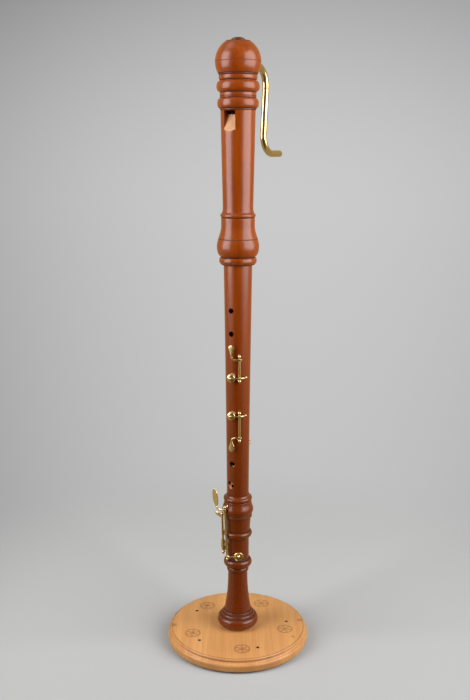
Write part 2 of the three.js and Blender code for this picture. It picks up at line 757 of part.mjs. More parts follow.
// Keys three and four are alike, one with its touch above the cup and one below it.
function makeFingerKey(name, cupHeight, reach, way) {
  const wallRadius = middleRadiusAt(cupHeight);
  const rodDistance = wallRadius + keyRodStandoff;
  const touchArmHeight = cupHeight + way * reach;
  const farPost = touchArmHeight + way * keyPostInset;
  const nearPost = cupHeight - way * keyPostInset;
  const low = Math.min(farPost, nearPost);
  const high = Math.max(farPost, nearPost);
  const line = rodLine(polar(keyRodTurn, rodDistance, low), polar(keyRodTurn, rodDistance, high));
  const seat = {
    turn: keyCupTurn,
    height: cupHeight,
    holeRadius: keyHoleRadius,
    cupRadius: keyCupRadius,
    level: padLevel(wallRadius, keyCupRadius),
  };
  const sleeveEnd = postBallRadius + restGap;
  const sleeve = makeSleeve(line, low + sleeveEnd, high - sleeveEnd, sleeveRadius);
  const overSleeve = rodDistance + sleeveRadius + armThickness * 0.2;
  const top = cupTop(seat);

  // Arm from the middle of the cup to the sleeve, closed
  const cupArm = lofted(polarStations([
    [keyCupTurn - 8, top - armThickness * 0.1, cupHeight, armWidth * 0.7, armThickness * 0.6],
    [keyCupTurn + 4, top + armThickness * 0.1, cupHeight, armWidth * 1.2, armThickness],
    [lerp(keyCupTurn, keyRodTurn, 0.45), lerp(top, overSleeve, 0.35), cupHeight, armWidth, armThickness],
    [lerp(keyCupTurn, keyRodTurn, 0.75), lerp(top, overSleeve, 0.8), cupHeight, armWidth, armThickness],
    [keyRodTurn, overSleeve, cupHeight, armWidth, armThickness],
  ]));
  const closed = join(sleeve, makeCup(seat), cupArm);

  // Tail beyond the sleeve, whose cork stops the key when it stands open
  const tailDistance = wallRadius + restGap * 2 + stopCorkRadius + armThickness / 2;
  const tail = lofted(polarStations([
    [keyRodTurn - 3, overSleeve, cupHeight, armWidth, armThickness],
    [keyRodTurn + 6, overSleeve, cupHeight, armWidth, armThickness],
    [lerp(keyRodTurn, keyTailTurn, 0.6), lerp(overSleeve, tailDistance, 0.55), cupHeight,
      armWidth * 0.9, armThickness * 0.9],
    [keyTailTurn, tailDistance, cupHeight, armWidth * 0.9, armThickness * 0.8],
    [keyTailTurn + 4, tailDistance - armThickness * 0.1, cupHeight, armWidth * 0.6, armThickness * 0.6],
  ]));

  // Touch: an arm over the sleeve that turns along the joint and widens to a drop
  const touchDistance = wallRadius + keyTouchStandoff;
  const bend = armWidth;
  const along = (share) => touchArmHeight + way * (bend + keyTouchLength * share);
  const touchRows = [
    [keyRodTurn + 6, overSleeve, touchArmHeight, armWidth, armThickness],
    [keyRodTurn, overSleeve, touchArmHeight, armWidth, armThickness],
    [lerp(keyTouchTurn, keyRodTurn, 0.5), lerp(touchDistance, overSleeve, 0.6), touchArmHeight,
      armWidth, armThickness],
    [keyTouchTurn + keyTouchCurl, touchDistance, touchArmHeight + way * bend * 0.3, armWidth, armThickness],
    [keyTouchTurn + keyTouchCurl / 7, touchDistance, along(0), armWidth * 1.1, armThickness],
    [keyTouchTurn, touchDistance, along(0.18), armWidth * 1.2, armThickness],
    [keyTouchTurn, touchDistance, along(0.4), keyTouchWidth * 0.62, armThickness],
    [keyTouchTurn, touchDistance, along(0.62), keyTouchWidth * 0.92, armThickness * 1.1],
    [keyTouchTurn, touchDistance, along(0.78), keyTouchWidth, armThickness * 1.1],
    [keyTouchTurn, touchDistance, along(0.91), keyTouchWidth * 0.82, armThickness],
    [keyTouchTurn, touchDistance, along(1), keyTouchWidth * 0.4, armThickness * 0.6],
  ];
  const touch = lofted(polarStations(touchRows));
  const key = cut(join(swung(closed, line, keyOpening), tail, touch), rodRoom(line));
  const stopCork = drill(keyTailTurn, cupHeight, stopCorkRadius, wallRadius + restGap,
    tailDistance - armThickness / 2 - restGap / 2, pinSides);
  return {
    pieces: [
      [name, key, brass],
      [`${name}_pad`, swung(makePad(seat), line, keyOpening), leather],
      [`${name}_stop_cork`, stopCork, cork],
    ],
    fixed: [
      [`${name}_rod`, makeRod(line, farPost, nearPost), steel],
      [`${name}_post_lower`, makePost(line, low, middleRadiusAt(low)), brass],
      [`${name}_post_upper`, makePost(line, high, middleRadiusAt(high)), brass],
      [`${name}_spring`, makeSpring(line, nearPost, way, sleeveRadius), steel],
    ],
    cutters: [
      ...padSeat(seat),
      postHole(line, low, middleRadiusAt(low)),
      postHole(line, high, middleRadiusAt(high)),
    ],
  };
}

function addKey(group, key) {
  for (const [name, geometry, material] of [...key.pieces, ...key.fixed]) {
    piece(group, name, geometry, material);
  }
}

// Widest radius of the foot joint under a post's flange.
function footWoodAt(height) {
  return widest(footOutline, height - postFlangeRadius, height + postFlangeRadius);
}

// A foot key's rod stands clear of the wood under its lower post and spring, and under its whole length.
function footRodLine(turn, lowHeight, highHeight, lowStandoff) {
  const springEnd = lowHeight + postFlangeRadius + restGap + springReach;
  const lowWood = widest(footOutline, lowHeight - postFlangeRadius, springEnd);
  const highWood = widest(footOutline, lowHeight, highHeight);
  const low = polar(turn, lowWood + lowStandoff, lowHeight);
  const high = polar(turn, highWood + footRodStandoff, highHeight);
  return rodLine(low, high);
}

// Low F key: a short rounded touch and a cup on the side, standing open
function makeLowKey() {
  const name = 'key_low_f';
  const seat = {
    turn: lowKeyCupTurn,
    height: lowKeyCupHeight,
    holeRadius: lowKeyHoleRadius,
    cupRadius: lowKeyCupRadius,
    level: padLevel(footWaistRadius, lowKeyCupRadius),
  };
  const lowPost = lowKeyCupHeight - keyPostInset * 1.2;
  const line = footRodLine(lowKeyRodTurn, lowPost, lowKeyTopHeight, lowKeyFootStandoff);
  const sleeveEnd = postBallRadius + restGap;
  const sleeve = makeSleeve(line, lowPost + sleeveEnd, lowKeyTopHeight - sleeveEnd, footSleeveRadius);
  const atCup = onLine(line, lowKeyCupHeight);
  const rodDistance = Math.hypot(atCup.x, atCup.y);
  const over = rodDistance + footSleeveRadius * 0.6;
  const top = cupTop(seat);
  const cupArm = lofted(polarStations([
    [lowKeyCupTurn - 8, top - armThickness * 0.1, lowKeyCupHeight, armWidth * 0.7, armThickness * 0.6],
    [lowKeyCupTurn + 3, top + armThickness * 0.1, lowKeyCupHeight, armWidth * 1.2, armThickness],
    [lerp(lowKeyCupTurn, lowKeyRodTurn, 0.5), lerp(top, over, 0.45), lowKeyCupHeight, armWidth,
      armThickness],
    [lowKeyRodTurn - 2, over, lowKeyCupHeight, armWidth, armThickness],
  ]));
  const closed = join(sleeve, makeCup(seat), cupArm);

  // The touch leaves the sleeve's upper end and runs out sideways and up, clear of the bulge
  const touchHeight = lowKeyTopHeight - sleeveEnd - lowKeyTouchWidth * 0.45;
  const root = onLine(line, touchHeight);
  const sideways = outward(-90);
  const station = (share, width, thickness) => ({
    at: root.clone().addScaledVector(sideways, lowKeyTouchLength * share)
      .addScaledVector(outward(0), footSleeveRadius * 0.6).setZ(touchHeight + lowKeyTouchRise * share),
    face: outward(-12),
    width,
    thickness,
  });
  const touch = lofted([
    station(-0.05, armWidth, armThickness),
    station(0.15, armWidth * 1.3, armThickness),
    station(0.36, lowKeyTouchWidth * 0.85, armThickness * 1.2),
    station(0.62, lowKeyTouchWidth, armThickness * 1.3),
    station(0.88, lowKeyTouchWidth * 0.8, armThickness * 1.1),
    station(1, lowKeyTouchWidth * 0.4, armThickness * 0.7),
  ]);
  const key = cut(join(swung(closed, line, lowKeyOpening), touch), rodRoom(line));
  const lowWood = footWoodAt(lowPost);
  const highWood = footWoodAt(lowKeyTopHeight);
  return {
    pieces: [
      [name, key, brass],
      [`${name}_pad`, swung(makePad(seat), line, lowKeyOpening), leather],
    ],
    fixed: [
      [`${name}_rod`, makeRod(line, lowPost, lowKeyTopHeight), steel],
      [`${name}_post_lower`, makePost(line, lowPost, lowWood), brass],
      [`${name}_post_upper`, makePost(line, lowKeyTopHeight, highWood), brass],
      [`${name}_spring`, makeSpring(line, lowPost, 1, footSleeveRadius), steel],
    ],
    cutters: [
      ...padSeat(seat),
      postHole(line, lowPost, lowWood),
      postHole(line, lowKeyTopHeight, highWood),
    ],
  };
}

// Low F sharp key: a leaf touch and a cup on the front, held closed
function makeSharpKey() {
  const name = 'key_low_f_sharp';
  const seat = {
    turn: sharpKeyCupTurn,
    height: sharpKeyCupHeight,
    holeRadius: sharpKeyHoleRadius,
    cupRadius: sharpKeyCupRadius,
    level: padLevel(footWaistRadius, sharpKeyCupRadius),
  };
  const lowPost = sharpKeyCupHeight - keyPostInset * 1.1;
  const line = footRodLine(sharpKeyRodTurn, lowPost, sharpKeyTopHeight, sharpKeyFootStandoff);
  const sleeveEnd = postBallRadius + restGap;
  const collarTop = sharpKeyTopHeight - sleeveEnd;
  const sleeve = makeSleeve(line, lowPost + sleeveEnd, collarTop, footSleeveRadius);
  const collar = makeSleeve(line, collarTop - sharpKeyCollarLength, collarTop, sharpKeyCollarRadius);
  const atCup = onLine(line, sharpKeyCupHeight);
  const rodDistance = Math.hypot(atCup.x, atCup.y);
  const over = rodDistance + footSleeveRadius * 0.7;
  const top = cupTop(seat);
  const cupArm = lofted(polarStations([
    [sharpKeyRodTurn, over, sharpKeyCupHeight, armWidth, armThickness],
    [lerp(sharpKeyRodTurn, sharpKeyCupTurn, 0.2), over, sharpKeyCupHeight, armWidth * 1.1, armThickness],
    [lerp(sharpKeyRodTurn, sharpKeyCupTurn, 0.5), lerp(over, top, 0.6), sharpKeyCupHeight, armWidth,
      armThickness],
    [lerp(sharpKeyRodTurn, sharpKeyCupTurn, 0.8), top + armThickness * 0.2, sharpKeyCupHeight, armWidth,
      armThickness],
    [sharpKeyCupTurn - 2, top + armThickness * 0.1, sharpKeyCupHeight, armWidth * 1.1, armThickness],
    [sharpKeyCupTurn + 6, top - armThickness * 0.1, sharpKeyCupHeight, armWidth * 0.7, armThickness * 0.6],
  ]));

  // The leaf stands on an arm from the collar, which bows out over the other key's post
  const armHeight = collarTop - sharpKeyCollarLength / 2;
  const atArm = onLine(line, armHeight);
  const armDistance = Math.hypot(atArm.x, atArm.y) + sharpKeyCollarRadius;
  const leafDistance = footBulgeRadius + leafStandoff;
  const leafFoot = polar(leafTurn, leafDistance, armHeight + armWidth * 1.2);
  const leafTip = polar(leafTurn, leafDistance + leafLean, leafFoot.z + leafLength);
  const front = outward(sharpKeyRodTurn / 2);
  const station = (at, width, thickness, face = front) => ({ at, face, width, thickness });
  const onLeaf = (share, width, thickness) => station(leafFoot.clone().lerp(leafTip, share), width, thickness);
  const bow = lerp(sharpKeyRodTurn, leafTurn, 0.5);
  const leaf = lofted([
    station(polar(sharpKeyRodTurn, armDistance - armThickness * 0.3, armHeight), armWidth, armThickness),
    station(polar(lerp(sharpKeyRodTurn, leafTurn, 0.2), armDistance + armThickness * 0.5, armHeight),
      armWidth, armThickness, outward(bow)),
    station(polar(bow, lerp(armDistance, leafDistance, 0.62), armHeight + armWidth * 0.1),
      armWidth, armThickness, outward(bow)),
    station(polar(lerp(sharpKeyRodTurn, leafTurn, 0.85), lerp(armDistance, leafDistance, 0.9),
      armHeight + armWidth * 0.4), armWidth, armThickness),
    onLeaf(0, armWidth * 1.3, armThickness),
    onLeaf(0.09, leafWidth * 0.58, armThickness * 0.9),
    onLeaf(0.26, leafWidth * 0.9, armThickness * 0.85),
    onLeaf(0.48, leafWidth, armThickness * 0.8),
    onLeaf(0.7, leafWidth * 0.82, armThickness * 0.8),
    onLeaf(0.88, leafWidth * 0.45, armThickness * 0.7),
    onLeaf(1, leafWidth * 0.12, armThickness * 0.4),
  ]);
  const key = cut(join(sleeve, collar, makeCup(seat), cupArm, leaf), rodRoom(line));
  const lowWood = footWoodAt(lowPost);
  const highWood = footWoodAt(sharpKeyTopHeight);
  return {
    pieces: [
      [name, key, brass],
      [`${name}_pad`, makePad(seat), leather],
    ],
    fixed: [
      [`${name}_rod`, makeRod(line, lowPost, sharpKeyTopHeight), steel],
      [`${name}_post_lower`, makePost(line, lowPost, lowWood), brass],
      [`${name}_post_upper`, makePost(line, sharpKeyTopHeight, highWood), brass],
      [`${name}_spring`, makeSpring(line, lowPost, 1, footSleeveRadius), steel],
    ],
    cutters: [
      ...padSeat(seat),
      postHole(line, lowPost, lowWood),
      postHole(line, sharpKeyTopHeight, highWood),
    ],
  };
}

function makeFoot() {
  const group = new THREE.Group();
  group.position.z = standTop + restGap;
  const keys = [makeLowKey(), makeSharpKey()];
  const body = turned([
    ...footOutline,
    [lowSocketRadius, footLength],
    [lowSocketRadius, lowSocketFloor],
    [footBoreTopRadius, lowSocketFloor],
    [footBoreRadius, 0],
  ]);
  piece(group, 'foot_joint', cut(body, ...keys[0].cutters, ...keys[1].cutters), maple);
  for (const key of keys) addKey(group, key);
  return group;
}

// Thumb rest: a curved plate screwed to the back, with a shelf that has an eye for the sling
function makeThumbRest() {
  const inner = middleRadiusAt(restHeight + restPlateHeight / 2) + restGap;
  const outer = inner + restPlateThickness;
  const blank = tube(outer, inner, restHeight - restPlateHeight / 2, restHeight + restPlateHeight / 2,
    turnedSides);
  const window = new THREE.BoxGeometry(restPlateWidth, outer, restPlateHeight)
    .translate(0, outer / 2 + inner / 2, restHeight);
  const end = outer + restShelfReach;
  const low = restHeight - restShelfThickness / 2;
  const shelf = prism([
    [inner + restPlateThickness / 2, low],
    [end - restShelfThickness, low],
    [end, low + restShelfThickness / 2],
    [end, low + restLipHeight],
    [end - restShelfThickness * 0.8, low + restLipHeight],
    [end - restShelfThickness, low + restShelfThickness],
    [inner + restPlateThickness / 2, low + restShelfThickness],
  ], restPlateWidth);
  const nose = restPlateWidth / 2;
  const plan = join(
    bar(nose, low - cutOverrun, low + restLipHeight + cutOverrun, turnedSides).translate(0, end - nose, 0),
    new THREE.BoxGeometry(restPlateWidth, end - nose, restPlateHeight).translate(0, (end - nose) / 2, low),
  );
  const eye = bar(restEyeRadius, low - cutOverrun, low + restShelfThickness + cutOverrun, smallSides)
    .translate(0, outer + restShelfReach * 0.44, 0);
  const screwHeights = [-1, 1].map((side) => restHeight + side * restPlateHeight * 0.36);
  const plateHoles = screwHeights.map((height) => (
    drill(180, height, restScrewShank + pinSlip, inner - cutOverrun, outer + cutOverrun, pinSides)));
  const woodHoles = screwHeights.map((height) => (
    drill(180, height, restScrewShank + pinSlip, inner - restScrewLength - restGap, outer + cutOverrun,
      pinSides)));
  const plate = cut(join(common(blank, window), common(shelf, plan)), eye, ...plateHoles);
  const screws = screwHeights.map((height) => aimed(turned([
    [0, inner - restScrewLength],
    [restScrewShank, inner - restScrewLength],
    [restScrewShank, outer + restGap],
    [restScrewHead, outer + restGap],
    [restScrewHead * 0.7, outer + restGap + restScrewHead * 0.4],
    [0, outer + restGap + restScrewHead * 0.5],
  ], pinSides), new THREE.Vector3(0, 0, height), outward(180)));
  return { plate, screws, woodHoles };
}

const middleBase = standTop + restGap + footLength + restGap;

function makeMiddle() {
  const group = new THREE.Group();
  group.position.z = middleBase;
  const keys = [
    makeFingerKey('key_three', keyThreeCupHeight, keyThreeReach, 1),
    makeFingerKey('key_four', keyFourCupHeight, keyFourReach, -1),
  ];
  const rest = makeThumbRest();
  const steps = 5;
  const taper = [];
  for (let i = 0; i <= steps; i += 1) {
    const height = (middleLength * i) / steps;
    taper.push([middleRadiusAt(height), height]);
  }
  const lowCorkAt = -lowTenonLength + (lowTenonLength - corkLength) / 2;
  const highCorkAt = middleLength + (highTenonLength - corkLength) / 2;
  const body = turned([
    [lowTenonRadius, -lowTenonLength],
    ...corkGroove(lowTenonRadius, lowCorkAt),
    [lowTenonRadius, 0],
    ...taper,
    [highTenonRadius, middleLength],
    ...corkGroove(highTenonRadius, highCorkAt),
    [highTenonRadius, middleLength + highTenonLength],
    [middleBoreHighRadius, middleLength + highTenonLength],
    [middleBoreLowRadius, -lowTenonLength],
  ]);
  const reach = middleHighRadius + cutOverrun;
  const doubleRadius = middleRadiusAt(doubleHoleHeight);
  const spread = doubleHoleSpread / 2 / doubleRadius / degree;
  const drop = doubleHoleDrop / 2;
  const scoop = new THREE.IcosahedronGeometry(scoopRadius, 4);
  const scoopAt = polar(doubleHoleTurn, doubleRadius + scoopRadius - scoopDepth, doubleHoleHeight);
  scoop.translate(scoopAt.x, scoopAt.y, scoopAt.z);
  const cutters = [
    drill(0, holeOneHeight, holeRadius, 0, reach),
    drill(0, holeTwoHeight, holeRadius, 0, reach),
    drill(0, holeFiveHeight, holeFiveRadius, 0, reach),
    drill(180, thumbHoleHeight, holeFiveRadius, 0, reach),
    drill(doubleHoleTurn - spread, doubleHoleHeight + drop, doubleHoleRadius, 0, reach, pinSides),
    drill(doubleHoleTurn + spread, doubleHoleHeight - drop, doubleHoleRadius, 0, reach, pinSides),
    scoop,
    ...keys[0].cutters,
    ...keys[1].cutters,
    ...rest.woodHoles,
  ];
  piece(group, 'middle_joint', cut(body, ...cutters), maple);
  piece(group, 'lower_cork', corkRing(lowTenonRadius, lowCorkAt), cork);
  piece(group, 'upper_cork', corkRing(highTenonRadius, highCorkAt), cork);
  piece(group, 'thumb_rest', rest.plate, brass);
  rest.screws.forEach((screw, i) => piece(group, `thumb_rest_screw_${i + 1}`, screw, brass));
  for (const key of keys) addKey(group, key);
  return group;
}

// Head joint: an end bead, a bell round the socket, a sharp ring, a long taper and an upper bead.
// Heights are shares of the joint's length.
const headShares = {
  endBeadLow: 0.006, endBeadTop: 0.044, bellLow: 0.052, bellMiddle: 0.111, bellTop: 0.238,
  ringLow: 0.289, ringTop: 0.31, coveTop: 0.352, taperTop: 0.919, bandTop: 0.929,
  beadTop: 0.988,
};
const headHeight = {};
for (const [name, share] of Object.entries(headShares)) headHeight[name] = share * headLength;
const headBase = middleBase + middleLength + restGap;

function makeHead() {
  const group = new THREE.Group();
  group.position.z = headBase;
  const tenonTop = headLength + capTenonLength;
  const socketRadius = highTenonRadius + tenonSlip;
  const socketFloor = highTenonLength + restGap;
  const corkAt = headLength + (capTenonLength - corkLength) / 2;
  const body = turned([
    [headCollarRadius, 0],
    ...bead(headCollarRadius * 1.03, headHeight.endBeadLow, headCollarRadius * 1.03, headHeight.endBeadTop,
      headBellRadius * 0.888, 3),
    [headCollarRadius * 1.01, headHeight.bellLow],
    ...cove(headCollarRadius * 1.02, headHeight.bellLow, headBellRadius, headHeight.bellMiddle, 3),
    ...ogee(headBellRadius, headHeight.bellMiddle, headCollarRadius, headHeight.bellTop, 5).slice(1),
    [headCollarRadius, headHeight.ringLow],
    ...bead(headCollarRadius, headHeight.ringLow, headCollarRadius * 0.97, headHeight.ringTop,
      headCollarRadius * 1.045, 2).slice(1),
    ...cove(headCollarRadius * 0.95, headHeight.ringTop, headTubeRadius, headHeight.coveTop, 3).slice(1),
    [headTubeTopRadius, headHeight.taperTop],
    [headNeckRadius, headHeight.taperTop + headNeckRadius * 0.03],
    [headNeckRadius, headHeight.bandTop],
    ...bead(headNeckRadius * 1.02, headHeight.bandTop, headNeckRadius, headHeight.beadTop,
      headBeadRadius),
    [headNeckRadius, headLength],
    [capTenonRadius, headLength],
    ...corkGroove(capTenonRadius, corkAt),
    [capTenonRadius, tenonTop],
    [headBoreRadius, tenonTop],
    [headBoreRadius, headLength - windowDrop - windowHeight - rampLength],
    [headBoreLowRadius, socketFloor],
    [socketRadius, socketFloor],
    [socketRadius, 0],
  ]);
  const windowTop = headLength - windowDrop;
  const lipHeight = windowTop - windowHeight;
  const outside = headTubeTopRadius + cutOverrun;
  const rampRise = headTubeTopRadius - lipRadius;
  const rampFoot = lipHeight - (rampLength * (outside - lipRadius)) / rampRise;
  const inside = headBoreRadius / 2;
  const window = prism([
    [-inside, lipHeight],
    [-inside, windowTop],
    [-outside, windowTop],
    [-outside, rampFoot],
    [-lipRadius, lipHeight],
  ], windowWidth);
  const windway = prism([
    [-inside, windowTop - restGap],
    [-inside, tenonTop + cutOverrun],
    [-windwayRoof, tenonTop + cutOverrun],
    [-windwayRoof, windowTop - restGap],
  ], windowWidth);
  piece(group, 'head_joint', cut(body, window, windway), maple);
  piece(group, 'cap_cork', corkRing(capTenonRadius, corkAt), cork);

  // Block: fills the bore, with a tongue that is the floor of the windway
  const blockLow = windowTop;
  const blockTop = tenonTop - restGap;
  const blockRadius = headBoreRadius - restGap;
  const floor = windwayRoof - windwayHeight;
  const plug = bar(blockRadius, blockLow, blockTop, turnedSides);
  const tongue = prism([
    [-inside, blockLow],
    [-inside, blockTop],
    [-floor, blockTop],
    [-floor, blockLow],
  ], windowWidth - restGap * 2);
  const planed = prism([
    [-floor, blockLow - cutOverrun],
    [-floor, blockTop + cutOverrun],
    [-outside, blockTop + cutOverrun],
    [-outside, blockLow - cutOverrun],
  ], outside);
  piece(group, 'block', cut(join(plug, tongue), planed), cedar);
  return group;
}

const capBase = headBase + headLength + restGap;
const crookHoleRadius = crookRadius + crookCorkThickness + restGap * 2;

// Wind cap: a bead and a band under a ball, hollow, with a socket for the head's upper end
function makeCap() {
  const group = new THREE.Group();
  group.position.z = capBase;
  const socketRadius = capTenonRadius + tenonSlip;
  const socketFloor = capTenonLength + restGap * 2;
  const ballLow = -Math.acos((capNeckRadius * 1.09) / capBallRadius);
  const ballHigh = Math.acos(capRimRadius / capBallRadius);
  const rimHeight = capBallHeight + capBallRadius * Math.sin(ballHigh);
  const ballFoot = capBallHeight + capBallRadius * Math.sin(ballLow);
  const beadLow = ballFoot * 0.2;
  const beadTop = ballFoot * 0.66;
  const stemHole = buttonStemRadius + restGap;
  const rim = rimHeight + capRimRadius * 0.02;
  const flat = rimHeight - capRimRadius * 0.02;
  const body = turned([
    [headNeckRadius, 0],
    [headNeckRadius, ballFoot * 0.14],
    [capNeckRadius * 1.02, ballFoot * 0.16],
    ...bead(capNeckRadius * 1.03, beadLow, capNeckRadius * 1.01, beadTop, capBeadRadius),
    [capNeckRadius, ballFoot * 0.7],
    ...bead(capNeckRadius, ballFoot * 0.74, capNeckRadius * 1.01, ballFoot * 0.97,
      capNeckRadius * 1.055, 2),
    ...ballArc(capBallRadius, capBallHeight, ballLow, ballHigh, 7),
    [capRimRadius * 0.98, rim],
    [capRimRadius * 0.93, rim],
    [capRimRadius * 0.91, flat],
    [stemHole, flat],
    [stemHole, rimHeight - buttonStemLength - restGap],
    [capChamberRadius * 0.6, rimHeight - buttonStemLength - restGap],
    [capChamberRadius * 0.9, capBallHeight + capBallRadius * 0.36],
    [capChamberRadius, capBallHeight + capBallRadius * 0.15],
    [capChamberRadius, capBallHeight - capBallRadius * 0.3],
    [socketRadius, socketFloor],
    [socketRadius, 0],
  ]);
  const crookHole = drill(180, capBallHeight, crookHoleRadius, capChamberRadius / 2,
    capBallRadius + cutOverrun);
  piece(group, 'cap', cut(body, crookHole), maple);
  const seat = flat + restGap;
  const button = turned([
    [0, rimHeight - buttonStemLength],
    [buttonStemRadius, rimHeight - buttonStemLength],
    [buttonStemRadius, seat],
    [buttonRadius, seat],
    [buttonRadius, seat + buttonRise * 0.3],
    [buttonRadius * 0.6, seat + buttonRise * 0.85],
    [0, seat + buttonRise],
  ], turnedSides);
  piece(group, 'cap_button', button, darkMaple);
  return group;
}

// A bend or straight run of the crook, in the plane of the bore's axis and +Y.
class CrookRun extends THREE.Curve {
  constructor(start, heading, length, turn = 0) {
    super();
    Object.assign(this, { start, heading, length, turn });
  }

  // The heading is an angle from +Y towards +Z. A positive turn steers up, a negative one down.
  getPoint(t, target = new THREE.Vector3()) {
    const angle = this.heading + this.turn * t;
    const radius = this.turn ? this.length / this.turn : 0;
    const y = this.turn ? radius * (Math.sin(angle) - Math.sin(this.heading))
      : this.length * t * Math.cos(angle);
    const z = this.turn ? radius * (Math.cos(this.heading) - Math.cos(angle))
      : this.length * t * Math.sin(angle);
    return target.set(0, this.start.y + y, this.start.z + z);
  }

  // The run that goes on from the end of this one.
  next(length, turn = 0) {
    return new CrookRun(this.getPoint(1), this.heading + this.turn, length, turn);
  }
}

function crookPipe(...runs) {
  const ring = new THREE.Shape();
  ring.absarc(0, 0, crookRadius, 0, Math.PI * 2);
  const hole = new THREE.Path();
  hole.absarc(0, 0, crookRadius - crookWall, 0, Math.PI * 2);
  ring.holes.push(hole);
  const route = new THREE.CurvePath();
  for (const run of runs) route.add(run);
  return new THREE.ExtrudeGeometry(ring, {
    steps: bendSteps,
    curveSegments: smallSides / 2,
    bevelEnabled: false,
    extrudePath: route,
  });
}

// The reduced end of a curved piece, with the collar that holds it, to slide into the straight tube.
function crookSpigot(at, direction) {
  const bore = crookRadius - crookWall;
  const inside = bore - restGap - crookWall;
  return aimed(turned([
    [inside, -crookCollarLength],
    [bore + crookWall / 2, -crookCollarLength],
    [bore + crookWall / 2, -crookCollarLength / 4],
    [bore - restGap, -crookCollarLength / 4],
    [bore - restGap, crookSpigotLength],
    [inside, crookSpigotLength],
  ], smallSides), at, direction);
}

function makeCrook() {
  const group = new THREE.Group();
  group.position.z = capBase;
  const bendTurn = Math.PI / 2 + crookLean * degree;
  const bendStart = crookReach - crookBend * Math.sin(bendTurn);
  const tenonStart = Math.sqrt(capChamberRadius ** 2 - crookHoleRadius ** 2) + restGap;
  const arm = new CrookRun(new THREE.Vector3(0, tenonStart, capBallHeight), 0, bendStart - tenonStart);
  const elbow = arm.next(crookBend * bendTurn, -bendTurn);
  const down = new THREE.Vector3(0, Math.cos(bendTurn), -Math.sin(bendTurn));
  const bendEnd = elbow.getPoint(1);
  const tubeStart = bendEnd.clone().addScaledVector(down, restGap);
  const tubeEnd = tubeStart.clone().addScaledVector(down, crookTubeLength);
  const mouthStart = tubeEnd.clone().addScaledVector(down, restGap);
  const sweep = new CrookRun(mouthStart, -bendTurn, crookMouthBend * bendTurn, bendTurn);
  const mouth = sweep.next(crookMouthLength);
  const straight = tube(crookRadius, crookRadius - crookWall, 0, crookTubeLength);
  piece(group, 'crook_bend', join(crookPipe(arm, elbow), crookSpigot(bendEnd, down)), brass);
  piece(group, 'crook_tube', aimed(straight, tubeStart, down), brass);
  const lower = join(crookPipe(sweep, mouth), crookSpigot(mouthStart, down.clone().negate()));
  piece(group, 'crook_mouth', lower, brass);
  const corkInner = crookRadius + restGap;
  const corkEnd = Math.sqrt(capBallRadius ** 2 - crookHoleRadius ** 2);
  const sleeve = tube(corkInner + crookCorkThickness, corkInner, tenonStart, corkEnd, smallSides);
  piece(group, 'crook_cork', aimed(sleeve, new THREE.Vector3(0, 0, capBallHeight), outward(180)), cork);
  return group;
}

recorder.add(makeStand());
recorder.add(makeFoot());
recorder.add(makeMiddle());
recorder.add(makeHead());
recorder.add(makeCap());
recorder.add(makeCrook());

export default recorder;
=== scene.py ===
import json
import math

import bmesh
import bpy
from mathutils import Matrix, Vector


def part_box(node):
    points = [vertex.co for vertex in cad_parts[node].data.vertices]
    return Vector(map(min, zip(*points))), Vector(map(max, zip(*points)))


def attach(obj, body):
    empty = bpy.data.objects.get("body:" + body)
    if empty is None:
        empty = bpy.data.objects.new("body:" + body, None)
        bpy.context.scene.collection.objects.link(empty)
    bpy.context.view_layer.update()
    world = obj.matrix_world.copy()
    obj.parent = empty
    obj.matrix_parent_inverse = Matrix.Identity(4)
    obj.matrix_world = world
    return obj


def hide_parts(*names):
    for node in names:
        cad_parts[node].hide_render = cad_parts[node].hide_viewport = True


bl_info = {
    "name": "Bass recorder",
    "version": (1, 0, 0),
    "blender": (4, 5, 0),
    "location": "3D View > Sidebar > Recorder",
    "description": "Builds a bass recorder of stained maple with brass keys and crook, on its turned stand",
    "category": "Add Mesh",
}

# Metres, +Z up. Finger holes and window face -Y. Angles round the bore are counted from the
# finger-hole line, growing towards +X.
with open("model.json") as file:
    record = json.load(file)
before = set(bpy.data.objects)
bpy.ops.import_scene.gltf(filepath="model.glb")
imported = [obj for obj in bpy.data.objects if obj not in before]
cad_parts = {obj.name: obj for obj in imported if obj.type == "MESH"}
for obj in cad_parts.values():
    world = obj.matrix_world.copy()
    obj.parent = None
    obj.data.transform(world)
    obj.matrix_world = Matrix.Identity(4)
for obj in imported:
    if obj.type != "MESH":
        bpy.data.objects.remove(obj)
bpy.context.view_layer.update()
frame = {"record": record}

MM = 0.001
DEGREE = math.pi / 180
UP = Vector((0, 0, 1))
REST_GAP = 0.3 * MM
PIN_SLIP = 0.35 * MM
TENON_SLIP = 0.4 * MM
OVERRUN = 6 * MM
WELD = 0.002 * MM
DISC_STEPS = 192
TURNED_STEPS = 160
PLATE_STEPS = 128
RING_STEPS = 96
SMALL_STEPS = 48
PIN_STEPS = 24
TOUCH_STEPS = 28
NEEDLE_STEPS = 12
SHARP_ANGLE = 34 * DEGREE
STAND_SCREWS = 5
SCREW_SPACING = 360 * DEGREE / STAND_SCREWS
BODY_OF = {
    node: body
    for body, nodes in frame["record"]["behaviour"]["bodies"].items()
    for node in nodes
}


def floor_of(node):
    """Height of a node's lowest corner."""
    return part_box(node)[0][2]


def top_of(node):
    """Height of a node's highest corner."""
    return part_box(node)[1][2]


STAND_SEAT = floor_of("stand_disc")
STAND_TOP = top_of("stand_disc")
FOOT_BASE = floor_of("foot_joint")
MIDDLE_BASE = top_of("foot_joint") + REST_GAP
HEAD_BASE = floor_of("head_joint")
CAP_BASE = floor_of("cap")


# Sizes and colours that a user may change


def linear(code):
    """An sRGB hex colour as linear red, green and blue."""
    parts = [int(code[i:i + 2], 16) / 255 for i in (1, 3, 5)]
    return tuple(c / 12.92 if c <= 0.04045 else ((c + 0.055) / 1.055) ** 2.4 for c in parts)


